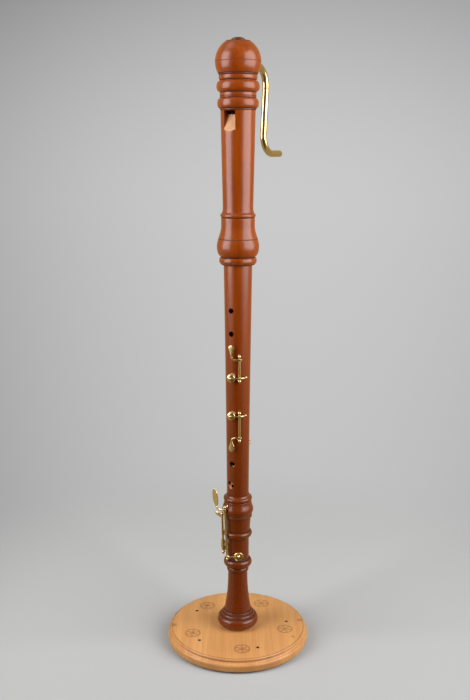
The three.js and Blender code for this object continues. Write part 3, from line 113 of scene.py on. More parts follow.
def length(name, description, millimetres):
    """A length, whose default is given in millimetres."""
    return bpy.props.FloatProperty(
        name=name, description=description, default=millimetres * MM, min=0, precision=5, unit="LENGTH"
    )


def angle(name, description, degrees):
    """An angle, whose default is given in degrees."""
    return bpy.props.FloatProperty(
        name=name, description=description, default=degrees * DEGREE, subtype="ANGLE"
    )


def colour(name, description, code):
    """A colour, whose default is given as an sRGB hex code."""
    return bpy.props.FloatVectorProperty(
        name=name, description=description, default=linear(code), size=3, min=0, max=1, subtype="COLOR"
    )


class StandSizes(bpy.types.PropertyGroup):
    """The disc, its plate, its peg and its screws."""

    radius: length("Radius", "Radius of the disc", 121.5)
    top_radius: length("Top radius", "Radius of the disc's flat top", 115)
    plate_radius: length("Plate radius", "Radius of the plate under the disc", 112)
    plate_thickness: length("Plate thickness", "Thickness of the plate under the disc", 3.5)
    peg_radius: length("Peg radius", "Radius of the peg that enters the bore", 9.6)
    peg_height: length("Peg height", "Height of the peg above the disc", 70)
    peg_seat: length("Peg seat", "Depth of the peg's seat in the disc", 12)
    screw_circle: length("Screw circle", "Radius of the circle that the screws stand on", 86.02)
    screw_head: length("Screw head", "Radius of a screw's head", 2.6)
    screw_shank: length("Screw shank", "Radius of a screw's shank", 1.5)
    screw_turn: angle("Screw turn", "Angle of the first screw", -18)
    peg_screw_head: length("Peg screw head", "Radius of the peg screw's head", 4.5)
    peg_screw_shank: length("Peg screw shank", "Radius of the peg screw's shank", 2)
    peg_screw_length: length("Peg screw length", "Length of the peg screw", 30)


class FootSizes(bpy.types.PropertyGroup):
    """The foot joint."""

    length: length("Length", "Length of the foot joint", 243)
    bell: length("Bell", "Radius of the bell's bead", 35.1)
    stem: length("Stem", "Radius of the stem over the bell", 16.5)
    waist: length("Waist", "Radius between the two upper beads", 19)
    tube: length("Tube", "Radius under the bulge", 21)
    bulge: length("Bulge", "Radius of the bulge round the socket", 26.5)
    ring: length("Ring", "Radius of the ring at the mouth", 24.2)
    bead: length("Bead", "Radius of the beads", 24.1)
    bore: length("Bore", "Radius of the bore at the end", 10.5)
    bore_top: length("Bore top", "Radius of the bore under the socket", 11.4)


class MiddleSizes(bpy.types.PropertyGroup):
    """The middle joint, its finger holes and its thumb rest."""

    length: length("Length", "Length between the two shoulders", 388)
    low_radius: length("Lower radius", "Radius at the lower shoulder", 18.55)
    high_radius: length("Upper radius", "Radius at the upper shoulder", 23)
    low_bore: length("Lower bore", "Radius of the bore at the lower end", 11.8)
    high_bore: length("Upper bore", "Radius of the bore at the upper end", 14)
    low_tenon: length("Lower tenon", "Radius of the lower tenon", 15.8)
    low_tenon_length: length("Lower tenon length", "Length of the lower tenon", 34)
    high_tenon: length("Upper tenon", "Radius of the upper tenon", 18.8)
    high_tenon_length: length("Upper tenon length", "Length of the upper tenon", 40)
    hole: length("Hole", "Radius of finger holes one and two", 4.5)
    small_hole: length("Small hole", "Radius of hole five and the thumb hole", 3.6)
    hole_one: length("Hole one", "Height of finger hole one", 315.7)
    hole_two: length("Hole two", "Height of finger hole two", 277.6)
    hole_five: length("Hole five", "Height of finger hole five", 55.8)
    thumb_hole: length("Thumb hole", "Height of the thumb hole", 335)
    double_hole: length("Double hole", "Radius of each of the two small holes", 2.1)
    double_height: length("Double hole height", "Height of the double hole", 19)
    double_spread: length("Double hole spread", "Distance between the two small holes", 7)
    double_turn: angle("Double hole turn", "Angle of the double hole", -9)
    double_drop: length("Double hole drop", "How much lower the second small hole is", 3.6)
    scoop: length("Scoop", "Radius of the ball that hollows the wood round the double hole", 24)
    scoop_depth: length("Scoop depth", "Depth of that hollow", 1.4)
    rest_height: length("Thumb rest height", "Height of the thumb rest's shelf", 80)


class HeadSizes(bpy.types.PropertyGroup):
    """The head joint, its window and its windway."""

    length: length("Length", "Length of the head joint", 261)
    tube: length("Tube", "Radius at the lower end of the taper", 24.3)
    tube_top: length("Tube top", "Radius at the upper end of the taper", 27.4)
    bell: length("Bell", "Radius of the bell round the socket", 33.9)
    collar: length("Collar", "Radius above the bell", 26.9)
    bead: length("Bead", "Radius of the upper bead", 32.4)
    neck: length("Neck", "Radius at the shoulder under the cap", 28.5)
    bore: length("Bore", "Radius of the bore", 15.5)
    bore_low: length("Lower bore", "Radius of the bore at the socket", 14.6)
    tenon: length("Tenon", "Radius of the tenon in the cap", 23)
    tenon_length: length("Tenon length", "Length of the tenon in the cap", 32)
    window_width: length("Window width", "Width of the window", 20)
    window_height: length("Window height", "Height of the window down to the lip", 5.8)
    window_drop: length("Window drop", "From the shoulder down to the window", 21.8)
    lip: length("Lip", "Distance of the lip's edge from the bore's axis", 16)
    ramp: length("Ramp", "Length of the ramp", 27.1)
    windway_roof: length("Windway roof", "Distance of the windway's roof from the axis", 17)
    windway_height: length("Windway height", "Height of the windway", 2.4)


class CapSizes(bpy.types.PropertyGroup):
    """The wind cap, its button and the corks."""

    ball: length("Ball", "Radius of the ball", 35.7)
    ball_height: length("Ball height", "Height of the ball's centre", 51)
    rim: length("Rim", "Radius of the flat rim round the button", 19.5)
    neck: length("Neck", "Radius of the grooves under the ball", 28.6)
    bead: length("Bead", "Radius of the cap's bead", 33.6)
    chamber: length("Chamber", "Radius of the hollow", 25)
    button: length("Button", "Radius of the button", 11)
    button_rise: length("Button rise", "Height of the button", 6.2)
    stem: length("Button stem", "Radius of the button's stem", 5)
    stem_length: length("Button stem length", "Length of the button's stem", 10)
    cork_thickness: length("Cork thickness", "Thickness of the cork on the tenons", 1.5)
    cork_length: length("Cork length", "Length of the cork on the tenons", 14)


class CrookSizes(bpy.types.PropertyGroup):
    """The brass crook."""

    radius: length("Radius", "Outside radius of the pipe", 5.5)
    wall: length("Wall", "Thickness of the pipe's wall", 0.8)
    reach: length("Reach", "From the bore's axis to the straight tube's upper end", 86.9)
    lean: angle("Lean", "Lean of the straight tube towards the head", 5.2)
    bend: length("Bend", "Radius of the upper bend", 32)
    tube: length("Tube", "Length of the straight tube", 70)
    mouth_bend: length("Mouth bend", "Radius of the lower bend", 30)
    mouth: length("Mouth", "Length of the straight mouth end", 26)
    spigot: length("Spigot", "Length of a spigot", 9)
    cork: length("Cork", "Thickness of the cork sleeve", 1.2)


class KeySizes(bpy.types.PropertyGroup):
    """The four keys, their rods, posts, pads and springs."""

    rod: length("Rod", "Radius of the rods", 1.1)
    sleeve: length("Sleeve", "Radius of the sleeves of the finger keys", 1.85)
    foot_sleeve: length("Foot sleeve", "Radius of the sleeves of the foot keys", 1.85)
    ball: length("Post ball", "Radius of a post's ball", 2.6)
    shank: length("Post shank", "Radius of a post's shank", 1.5)
    flange: length("Post flange", "Radius of a post's flange", 2.4)
    rod_head: length("Rod head", "Radius of a rod's slotted head", 1.6)
    rod_head_thickness: length("Rod head thickness", "Thickness of a rod's head", 0.7)
    cup_wall: length("Cup wall", "Thickness of a cup's wall", 0.7)
    cup_rim: length("Cup rim", "Depth of a cup's rim over the pad", 1.4)
    cup_dome: length("Cup dome", "Rise of a cup's dome", 1.9)
    pad: length("Pad", "Thickness of a pad", 2.8)
    arm_width: length("Arm width", "Width of an arm", 2.6)
    arm_thickness: length("Arm thickness", "Thickness of an arm", 1.9)
    spring: length("Spring", "Radius of a needle spring", 0.35)
    spring_reach: length("Spring reach", "Length of a needle spring", 12)
    stop_cork: length("Stop cork", "Radius of a stop cork", 1.3)
    rod_turn: angle("Rod turn", "Angle of the finger keys' rods", 37.5)
    rod_standoff: length("Rod standoff", "From the wood to the finger keys' rods", 4.2)
    cup: length("Cup", "Radius of the finger keys' cups", 6.7)
    cup_turn: angle("Cup turn", "Angle of the finger keys' cups", 3)
    opening: angle("Opening", "How far the finger keys stand open", 14)
    hole: length("Key hole", "Radius of the holes under the finger keys", 4.4)
    tail_turn: angle("Tail turn", "Angle where the finger keys' tails end", 66)
    touch_width: length("Touch width", "Width of the finger keys' touches", 10.6)
    touch_length: length("Touch length", "Length of the finger keys' touches", 21)
    touch_turn: angle("Touch turn", "Angle of the finger keys' touches", 7)
    touch_standoff: length("Touch standoff", "From the wood to the middle of the touches", 5.8)
    post_inset: length("Post inset", "From an arm to the next post", 5)
    three_height: length("Key three height", "Height of key three's cup", 205.6)
    three_reach: length("Key three reach", "From key three's cup to its touch arm", 31)
    four_height: length("Key four height", "Height of key four's cup", 141.2)
    four_reach: length("Key four reach", "From key four's cup to its touch arm", 37)


class FootKeySizes(bpy.types.PropertyGroup):
    """The low F key and the low F sharp key."""

    low_turn: angle("Low F rod turn", "Angle of the low F key's rod", -33)
    low_foot: length("Low F rod foot", "Distance of the low F rod's lower end from the axis", 27.6)
    low_head: length("Low F rod head", "Distance of the low F rod's upper end from the axis", 29.467)
    low_top: length("Low F rod top", "Height of the low F rod's upper post", 210)
    low_height: length("Low F cup height", "Height of the low F cup", 146.8)
    low_cup_turn: angle("Low F cup turn", "Angle of the low F cup", -66)
    low_cup: length("Low F cup", "Radius of the low F cup", 10.6)
    low_hole: length("Low F hole", "Radius of the hole under the low F cup", 5.6)
    low_opening: angle("Low F opening", "How far the low F key stands open", 22)
    low_touch: length("Low F touch", "Length of the low F touch", 12.5)
    low_touch_width: length("Low F touch width", "Width of the low F touch", 6.6)
    low_touch_rise: length("Low F touch rise", "How much higher the tip of the low F touch is", 7)
    sharp_turn: angle("Low F sharp rod turn", "Angle of the low F sharp key's rod", -16)
    sharp_foot: length("Low F sharp rod foot", "Distance of that rod's lower end from the axis", 24.4)
    sharp_head: length("Low F sharp rod head", "Distance of that rod's upper end from the axis", 30.2)
    sharp_top: length("Low F sharp rod top", "Height of that rod's upper post", 224.5)
    sharp_height: length("Low F sharp cup height", "Height of the low F sharp cup", 135.2)
    sharp_cup_turn: angle("Low F sharp cup turn", "Angle of the low F sharp cup", 35)
    sharp_cup: length("Low F sharp cup", "Radius of the low F sharp cup", 8.4)
    sharp_hole: length("Low F sharp hole", "Radius of the hole under that cup", 4.6)
    collar: length("Collar", "Radius of the low F sharp key's collar", 2.45)
    collar_length: length("Collar length", "Length of that collar", 4.6)
    leaf: length("Leaf", "Length of the leaf touch", 32)
    leaf_width: length("Leaf width", "Width of the leaf touch", 12)
    leaf_standoff: length("Leaf standoff", "From the bulge to the leaf", 11)
    leaf_turn: angle("Leaf turn", "Angle of the leaf", -43)
    leaf_lean: length("Leaf lean", "How much further out the leaf's tip is", 4)


class FinishColours(bpy.types.PropertyGroup):
    """Colours of the woods, the metals and the stage."""

    stain: colour("Stain", "Stained maple where the stain is thin", "#a24700")
    stain_dark: colour("Dark stain", "Stained maple in its darker fibres", "#7e3000")
    # Deep stain: the dark flecks, and the painted shade towards the lower joints and in the hollows
    deep_stain_and_low_shade: colour("Deep stain", "Stained maple of the lower joints", "#632300")
    bare: colour("Bare maple", "Unstained maple of the ramp, the bore and the hole walls", "#dda476")
    worn: colour("Thin stain", "Stained maple that was hollowed after staining", "#b8683a")
    button: colour("Button", "Wood of the cap's button", "#4a2210")
    beech: colour("Stand", "Beech of the stand", "#dfa264")
    beech_line: colour("Stand lines", "Darker lines in the beech", "#c08248")
    knot: colour("Knots", "Knots and burned lines in the beech", "#6b3d22")
    # Painted shadow: the plate's black stands in for the shadow under the disc
    plate: colour("Plate", "Plate under the stand", "#17130f")
    cedar: colour("Cedar", "Block", "#b9784c")
    cork: colour("Cork", "Corks", "#b98a58")
    brass: colour("Brass", "Lacquered brass", "#e3cb9c")
    brass_dull: colour("Dull brass", "Brass where it has dulled", "#b39a6c")
    steel: colour("Steel", "Rods and springs", "#8d8f92")
    screw: colour("Screws", "Browned steel of the stand's screws", "#3a3026")
    leather: colour("Leather", "Pads", "#e4d3b2")
    floor: colour("Floor", "Floor near the object", "#bbbbba")
    floor_shade: colour("Floor shade", "Floor as it lights the object", "#5c5955")
    room: colour("Room", "The room at the sides, as a gloss mirrors it", "#c4b48c")
    room_front: colour("Front of the room", "The room behind the camera, as a gloss mirrors it", "#6b572c")
    room_light: colour("Room light", "Faint light from all round", "#606060")


SETTINGS = {
    "recorder_stand": StandSizes,
    "recorder_foot": FootSizes,
    "recorder_middle": MiddleSizes,
    "recorder_head": HeadSizes,
    "recorder_cap": CapSizes,
    "recorder_crook": CrookSizes,
    "recorder_keys": KeySizes,
    "recorder_foot_keys": FootKeySizes,
    "recorder_colours": FinishColours,
}


# Outlines of turned work: lists of (radius, height)


def lerp(a, b, share):
    """The value a share of the way from a to b."""
    return a + (b - a) * share


def bead(radius0, height0, radius1, height1, crown, steps=14):
    """A round bead from one point to another, swelling to the crown radius half-way."""
    swell = crown - (radius0 + radius1) / 2
    points = []
    for i in range(steps + 1):
        t = i / steps
        height = lerp(height0, height1, (1 - math.cos(math.pi * t)) / 2)
        points.append((lerp(radius0, radius1, t) + swell * math.sin(math.pi * t), height))
    return points


def cove(radius0, height0, radius1, height1, steps=14):
    """A quarter round that leaves the first point square to the axis and meets the second along it."""
    points = []
    for i in range(steps + 1):
        turn = math.pi / 2 * i / steps
        radius = lerp(radius0, radius1, math.sin(turn))
        points.append((radius, lerp(height0, height1, 1 - math.cos(turn))))
    return points


def flare(radius0, height0, radius1, height1, steps=24):
    """A hollow sweep that leaves the first point at a slant and meets the second along the axis."""
    points = []
    for i in range(steps + 1):
        t = i / steps
        points.append((lerp(radius1, radius0, (1 - t) ** 2), lerp(height0, height1, t)))
    return points


def ogee(radius0, height0, radius1, height1, steps=16):
    """An S curve whose two ends run along the axis."""
    points = []
    for i in range(steps + 1):
        t = i / steps
        radius = lerp(radius0, radius1, (1 - math.cos(math.pi * t)) / 2)
        points.append((radius, lerp(height0, height1, t)))
    return points


def straight(radius0, height0, radius1, height1, steps=8):
    """A straight taper in short lengths."""
    return [
        (lerp(radius0, radius1, i / steps), lerp(height0, height1, i / steps)) for i in range(steps + 1)
    ]


def scribe(radius, height, width, depth):
    """A fine V line cut into a surface."""
    return [(radius, height - width / 2), (radius - depth, height), (radius, height + width / 2)]


def ball_arc(radius, centre, low, high, steps):
    """An arc of a ball between two angles from its equator."""
    points = []
    for i in range(steps + 1):
        turn = lerp(low, high, i / steps)
        points.append((radius * math.cos(turn), centre + radius * math.sin(turn)))
    return points


def dome(radius, base, rise, steps):
    """A quarter ellipse from a rim up to the axis."""
    points = [
        (radius * math.cos(turn), base + rise * math.sin(turn))
        for turn in (math.pi / 2 * i / steps for i in range(steps))
    ]
    return points + [(0, base + rise)]


def ring_section(inner, outer, low, high, edge):
    """A ring's section, its two outer corners cut off by the edge."""
    points = [(inner, low), (outer - edge, low), (outer, low + edge)]
    return points + [(outer, high - edge), (outer - edge, high), (inner, high)]


def millimetres(size, *names):
    """Some sizes of a group as numbers of millimetres."""
    return [getattr(size, name) / MM for name in names]


def metres(outline):
    """An outline drawn in millimetres, in metres."""
    return [(radius * MM, height * MM) for radius, height in outline]


def raised(outline, base):
    """An outline lifted onto a base height."""
    return [(radius, height + base) for radius, height in outline]


# Shapes, as bmeshes


def turned(outline, steps=TURNED_STEPS):
    """An outline spun round the z axis. One that starts off the axis is closed on itself."""
    shape = bmesh.new()
    corners = [shape.verts.new((radius, 0, height)) for radius, height in outline]
    edges = [shape.edges.new(pair) for pair in zip(corners, corners[1:])]
    if outline[0][0] > 0:
        edges.append(shape.edges.new((corners[-1], corners[0])))
    bmesh.ops.spin(
        shape, geom=corners + edges, cent=(0, 0, 0), axis=UP, angle=2 * math.pi,
        steps=steps, use_merge=True, use_normal_flip=False, use_duplicate=False,
    )
    return sealed(shape)


def sealed(shape):
    """The shape with its doubles merged and its faces turned outwards."""
    bmesh.ops.remove_doubles(shape, verts=shape.verts, dist=WELD)
    bmesh.ops.dissolve_degenerate(shape, edges=shape.edges, dist=WELD)
    bmesh.ops.recalc_face_normals(shape, faces=shape.faces)
    return shape


def bar(radius, low, high, steps=PIN_STEPS, edge=0):
    """A round bar along z, its ends chamfered by the edge."""
    return turned(ring_section(0, radius, low, high, edge), steps)


def moved(shape, matrix):
    """The shape after a transform."""
    bmesh.ops.transform(shape, matrix=matrix, verts=shape.verts)
    return shape


def aim(at, direction):
    """The transform that stands +Z of a shape on a point, along a direction."""
    return Matrix.Translation(at) @ direction.to_track_quat("Z", "Y").to_matrix().to_4x4()


def block_shape(low, high):
    """A plain box between two corners, for cutting."""
    low, high = Vector(low), Vector(high)
    size = high - low
    shape = bmesh.new()
    bmesh.ops.create_cube(shape, size=1)
    return moved(shape, Matrix.Translation((low + high) / 2) @ Matrix.Diagonal((*size, 1)))


def runs_along(edge, axis):
    """Whether an edge reaches more than a millimetre along an axis."""
    return abs(edge.verts[0].co[axis] - edge.verts[1].co[axis]) > MM


def rounded(shape, chosen, radius, segments):
    """The shape with its chosen edges rounded off."""
    bmesh.ops.bevel(
        shape, geom=[edge for edge in shape.edges if chosen(edge)], offset=radius, offset_type="OFFSET",
        segments=segments, profile=0.5, affect="EDGES", material=-1,
    )
    return shape


def prism(outline, width):
    """A prism along X over an outline of (y, z) points."""
    shape = bmesh.new()
    corners = [shape.verts.new((-width / 2, y, z)) for y, z in outline]
    face = shape.faces.new(corners)
    extruded = bmesh.ops.extrude_face_region(shape, geom=[face])
    far = [v for v in extruded["geom"] if isinstance(v, bmesh.types.BMVert)]
    bmesh.ops.translate(shape, verts=far, vec=(width, 0, 0))
    return sealed(shape)


def gathered(*shapes):
    """One bmesh of several shapes, which are used up."""
    whole = bmesh.new()
    for shape in shapes:
        mesh = bpy.data.meshes.new("gathered")
        shape.to_mesh(mesh)
        shape.free()
        whole.from_mesh(mesh)
        bpy.data.meshes.remove(mesh)
    return whole


def held(name, shape):
    """A bmesh as an object in the scene."""
    mesh = bpy.data.meshes.new(name)
    shape.to_mesh(mesh)
    shape.free()
    obj = bpy.data.objects.new(name, mesh)
    bpy.context.collection.objects.link(obj)
    return obj


def carved(shape, cutter, operation="DIFFERENCE"):
    """The shape with the cutter taken out of it, or what the two share. Both are used up."""
    body = held("carved", shape)
    tool = held("cutter", cutter)
    modifier = body.modifiers.new("Carve", "BOOLEAN")
    modifier.operation = operation
    modifier.solver = "EXACT"
    modifier.object = tool
    result = bmesh.new()
    result.from_object(body, bpy.context.evaluated_depsgraph_get())
    for obj in (body, tool):
        mesh = obj.data
        bpy.data.objects.remove(obj)
        bpy.data.meshes.remove(mesh)
    if not result.faces:
        raise RuntimeError("nothing is left of a carved shape")
    return result


class Station:
    """A place on a bar, with the direction that its upper face looks, its width and its thickness."""

    def __init__(self, at, face, width, thickness):
        self.at = Vector(at)
        self.face = Vector(face)
        self.width = width
        self.thickness = thickness

    def row(self):
        """The station as one list of numbers."""
        return [*self.at, *self.face, self.width, self.thickness]


def smoothed(stations, steps=5):
    """More stations, on a smooth line through the given ones."""
    rows = [station.row() for station in stations]
    last = len(rows) - 1
    result = []
    for i in range(last):
        before, start, end, after = rows[max(i - 1, 0)], rows[i], rows[i + 1], rows[min(i + 2, last)]
        for k in range(steps):
            t = k / steps
            result.append([
                0.5 * (2 * b + (c - a) * t + (2 * a - 5 * b + 4 * c - d) * t ** 2
                       + (3 * b - a - 3 * c + d) * t ** 3)
                for a, b, c, d in zip(before, start, end, after)
            ])
    result.append(rows[-1])
    return [Station(row[0:3], row[3:6], row[6], row[7]) for row in result]


def station_frames(stations):
    """The transform of each station: width across, thickness up, the bar's line forward."""
    frames = []
    last = len(stations) - 1
    for i, station in enumerate(stations):
        along = (stations[min(i + 1, last)].at - stations[max(i - 1, 0)].at).normalized()
        side = along.cross(station.face).normalized()
        above = side.cross(along).normalized()
        turn = Matrix((side, above, along)).transposed().to_4x4()
        size = Matrix.Diagonal((station.width / 2, station.thickness / 2, 1, 1))
        frames.append(Matrix.Translation(station.at) @ turn @ size)
    return frames


def swept(frames, steps=20, fullness=2, ring=False):
    """A round section carried through a list of transforms.

    Fullness 2 is an ellipse, and more is fuller at its corners. A ring ends where it starts."""
    shape = bmesh.new()
    corners = bmesh.ops.create_circle(shape, segments=steps, radius=1)["verts"]
    for corner in corners:
        for axis in (0, 1):
            value = corner.co[axis]
            corner.co[axis] = math.copysign(abs(value) ** (2 / fullness), value)
    first = list(shape.edges)
    edges = first
    bmesh.ops.transform(shape, matrix=frames[0], verts=corners)
    for before, after in zip(frames, frames[1:]):
        made = bmesh.ops.extrude_edge_only(shape, edges=edges)["geom"]
        corners = [v for v in made if isinstance(v, bmesh.types.BMVert)]
        fresh = set(corners)
        edges = [
            e for e in made
            if isinstance(e, bmesh.types.BMEdge) and e.verts[0] in fresh and e.verts[1] in fresh
        ]
        bmesh.ops.transform(shape, matrix=after @ before.inverted(), verts=corners)
    if ring:
        bmesh.ops.bridge_loops(shape, edges=first + edges)
    else:
        bmesh.ops.holes_fill(shape, edges=shape.edges)
    bmesh.ops.recalc_face_normals(shape, faces=shape.faces)
    return shape


def lofted(stations, steps=20, fullness=2.4, easing=5):
    """A bar through stations, smooth along its length."""
    return swept(station_frames(smoothed(stations, easing)), steps, fullness)


# Places round the bore


def outward(turn):
    """The direction out of the bore at an angle."""
    return Vector((math.sin(turn), -math.cos(turn), 0))


def polar(turn, radius, height):
    """A point at an angle, a distance from the axis and a height."""
    return outward(turn) * radius + UP * height


def drill(turn, height, outline, steps=SMALL_STEPS):
    """A turned cutter that points out of the bore."""
    return moved(turned(outline, steps), aim(UP * height, outward(turn)))


def plain_drill(turn, height, radius, low, high):
    """A round cutter out of the bore between two distances."""
    return drill(turn, height, [(0, low), (radius, low), (radius, high), (0, high)])


def eased_drill(turn, height, radius, low, high, mouth, wall):
    """A round cutter out of the bore that is wider at its mouth, just under the wall's outside."""
    deep = wall - 4 * MM
    slope = 0.8 * MM
    outline = [(0, low), (radius, low), (radius, deep), (mouth, deep + slope), (mouth, high), (0, high)]
    return drill(turn, height, outline)


def within(point, turn, height, reach):
    """Whether a point lies within reach of a line out of the bore."""
    off = point - UP * height
    axis = outward(turn)
    return off.dot(axis) > 0 and (off - axis * off.dot(axis)).length < reach


def middle_radius(height):
    """Radius of the middle joint at a height above its lower shoulder. The taper is a little hollow."""
    size = bpy.context.scene.recorder_middle
    hollow = 1.35
    share = min(max(height / size.length, 0), 1)
    return lerp(size.low_radius, size.high_radius, share ** hollow)


class RodLine:
    """The line of a key's rod between its two posts."""

    def __init__(self, low, high):
        self.low = low
        self.high = high
        self.direction = (high - low).normalized()

    def at(self, height):
        """The point on the line at a height."""
        return self.low.lerp(self.high, (height - self.low.z) / (self.high.z - self.low.z))

    def swing(self, turn):
        """The turn of a key round this line."""
        there = Matrix.Translation(self.low)
        return there @ Matrix.Rotation(turn, 4, self.direction) @ there.inverted()


# Finishes


def new_finish(name):
    """An empty node material, and the place on the object that its patterns go by."""
    material = bpy.data.materials.new(name)
    material.use_nodes = True
    material.node_tree.nodes.clear()
    return material, add(material, "TexCoord").outputs["Object"]


def add(material, kind, inputs=None, **settings):
    """Adds a node with its settings. Its inputs are values, or nodes and sockets to link."""
    tree = material.node_tree
    node = tree.nodes.new("ShaderNode" + kind)
    for name, value in settings.items():
        setattr(node, name, value)
    for key, value in (inputs or {}).items():
        socket = node.inputs[key]
        if isinstance(value, bpy.types.Node):
            value = value.outputs[2 if value.bl_idname == "ShaderNodeMix" else 0]
        if isinstance(value, bpy.types.NodeSocket):
            tree.links.new(value, socket)
        elif socket.type == "RGBA":
            socket.default_value = (*value[:3], 1)
        else:
            socket.default_value = value
    return node


def grain(finish, place, sizes, detail=2, roughness=0.5, distortion=0):
    """Noise whose features have these sizes in millimetres across, deep and along."""
    scale = [1 / (size * MM) for size in sizes]
    return add(finish, "TexNoise", {
        "Vector": add(finish, "Mapping", {"Vector": place, "Scale": scale}),
        "Scale": 1, "Detail": detail, "Roughness": roughness, "Distortion": distortion,
    })


def span(low, high, start=0, end=1):
    """The inputs of a MapRange node that carry low to start and high to end."""
    return {"From Min": low, "From Max": high, "To Min": start, "To Max": end}


def layered(finish, base, *layers):
    """A base colour with others laid over it in turn, each given after its share."""
    for share, tone in layers:
        base = add(finish, "Mix", {0: share, 6: base, 7: tone}, data_type="RGBA")
    return base


def surfaced(finish, inputs):
    """The finish, completed by a surface with these inputs."""
    shader = add(finish, "BsdfPrincipled", inputs)
    add(finish, "OutputMaterial", {"Surface": shader})
    return finish


def hollows(outline):
    """The heights where an outline turns sharply inwards, each with how deep it looks."""
    reach, apart, least = 1.1 * MM, 1.6 * MM, 0.13
    along = [0]
    for (r0, h0), (r1, h1) in zip(outline, outline[1:]):
        along.append(along[-1] + math.hypot(r1 - r0, h1 - h0))

    def radius_at(place):
        place = min(max(place, 0), along[-1])
        i = next(i for i in range(1, len(along)) if along[i] >= place)
        share = (place - along[i - 1]) / max(along[i] - along[i - 1], WELD)
        return lerp(outline[i - 1][0], outline[i][0], share)

    found = []
    for place, (radius, height) in zip(along, outline):
        depth = ((radius_at(place - reach) + radius_at(place + reach)) / 2 - radius) / reach
        if depth > least:
            found.append((depth, height))
    kept = []
    for depth, height in sorted(found, reverse=True):
        if all(abs(height - other) > apart for _, other in kept):
            kept.append((depth, height))
    return kept


def painted_hollow_shade(finish, height, shaded_hollows):
    """Share of painted shade in the hollows, in a fine dark line at each hollow given."""
    share = 0
    for depth, at in shaded_hollows:
        off = add(finish, "Math", {0: height, 1: at}, operation="SUBTRACT")
        off = add(finish, "Math", {0: off}, operation="ABSOLUTE")
        strength = min(depth * 2.4, 0.85)
        inputs = {"Value": off, **span(0.2 * MM, 1.2 * MM, strength, 0)}
        line = add(finish, "MapRange", inputs, interpolation_type="SMOOTHSTEP")
        share = add(finish, "Math", {0: share, 1: line}, operation="MAXIMUM")
    return share


def turned_maple(name, shaded_hollows, light, dark, deep, rough):
    """Maple turned on the lathe: fine fibres along the bore, faint growth figure and short dark flecks.

    Painted shade darkens it towards the lower joints and in each hollow. Oil leaves a soft satin sheen."""
    finish, place = new_finish(name)
    fibres = grain(finish, place, (0.9, 0.9, 34), 4, 0.62)
    figure = grain(finish, place, (11, 6, 150), distortion=0.35)
    flecks = grain(finish, place, (0.5, 0.5, 5))
    blotch = grain(finish, place, (14, 14, 22), 3, 0.55)
    height = add(finish, "SeparateXYZ", {"Vector": place}).outputs["Z"]
    # Painted shade: the maple turns towards the deep colour from 0.82 m down to 0.16 m high
    fall = span(0.82, 0.16)
    sink = add(finish, "MapRange", {"Value": height, **fall}, interpolation_type="SMOOTHSTEP")
    fibre_share = add(finish, "MapRange", {"Value": fibres, **span(0.3, 0.72, 0, 0.75)})
    figure_share = add(finish, "MapRange", {"Value": figure, **span(0.32, 0.68, 0, 0.8)})
    fleck_share = add(finish, "MapRange", {"Value": flecks, **span(0.62, 0.76, 0, 0.55)})
    blotch_share = add(finish, "MapRange", {"Value": blotch, **span(0.35, 0.7, 0.96, 1.06)})
    low_shade = add(finish, "Math", {0: sink, 1: 0.86}, operation="MULTIPLY")
    base = layered(finish, light, (fibre_share, dark), (figure_share, dark))
    base = layered(finish, base, (low_shade, deep), (fleck_share, deep))
    base = add(finish, "Mix", {0: 1, 6: base, 7: blotch_share}, data_type="RGBA", blend_type="MULTIPLY")
    # Painted shade: a fine, nearly black line of the deep colour in each hollow of the outline, which is
    # also rougher there
    hollow_shade = painted_hollow_shade(finish, height, shaded_hollows)
    base = layered(finish, base, (hollow_shade, shade(deep, 0.12)))
    sheen = add(finish, "MapRange", {"Value": fibres, **span(0.2, 0.8, rough - 0.05, rough + 0.08)})
    sheen = add(finish, "Math", {0: hollow_shade, 1: 0.7, 2: sheen}, operation="MULTIPLY_ADD")
    relief = add(finish, "Bump", {"Strength": 0.12, "Distance": 0.05 * MM, "Height": fibres})
    return surfaced(finish, {
        "Base Color": base, "Roughness": sheen, "Normal": relief, "IOR": 1.45, "Specular IOR Level": 0.52,
        "Coat Weight": 0.12, "Coat Roughness": 0.16,
    })


def bare_wood(name, light, dark, across, along, rough):
    """Plain cut wood without finish: fine fibres along the bore and no gloss."""
    finish, place = new_finish(name)
    fibres = grain(finish, place, (across, across, along), 4, 0.6)
    share = add(finish, "MapRange", {"Value": fibres, **span(0.3, 0.7)})
    base = layered(finish, light, (share, dark))
    relief = add(finish, "Bump", {"Strength": 0.2, "Distance": 0.08 * MM, "Height": fibres})
    return surfaced(finish, {"Base Color": base, "Roughness": rough, "Normal": relief, "IOR": 1.5})


def shade(colour_value, factor):
    """A colour made lighter or darker."""
    return tuple(min(channel * factor, 1) for channel in colour_value)


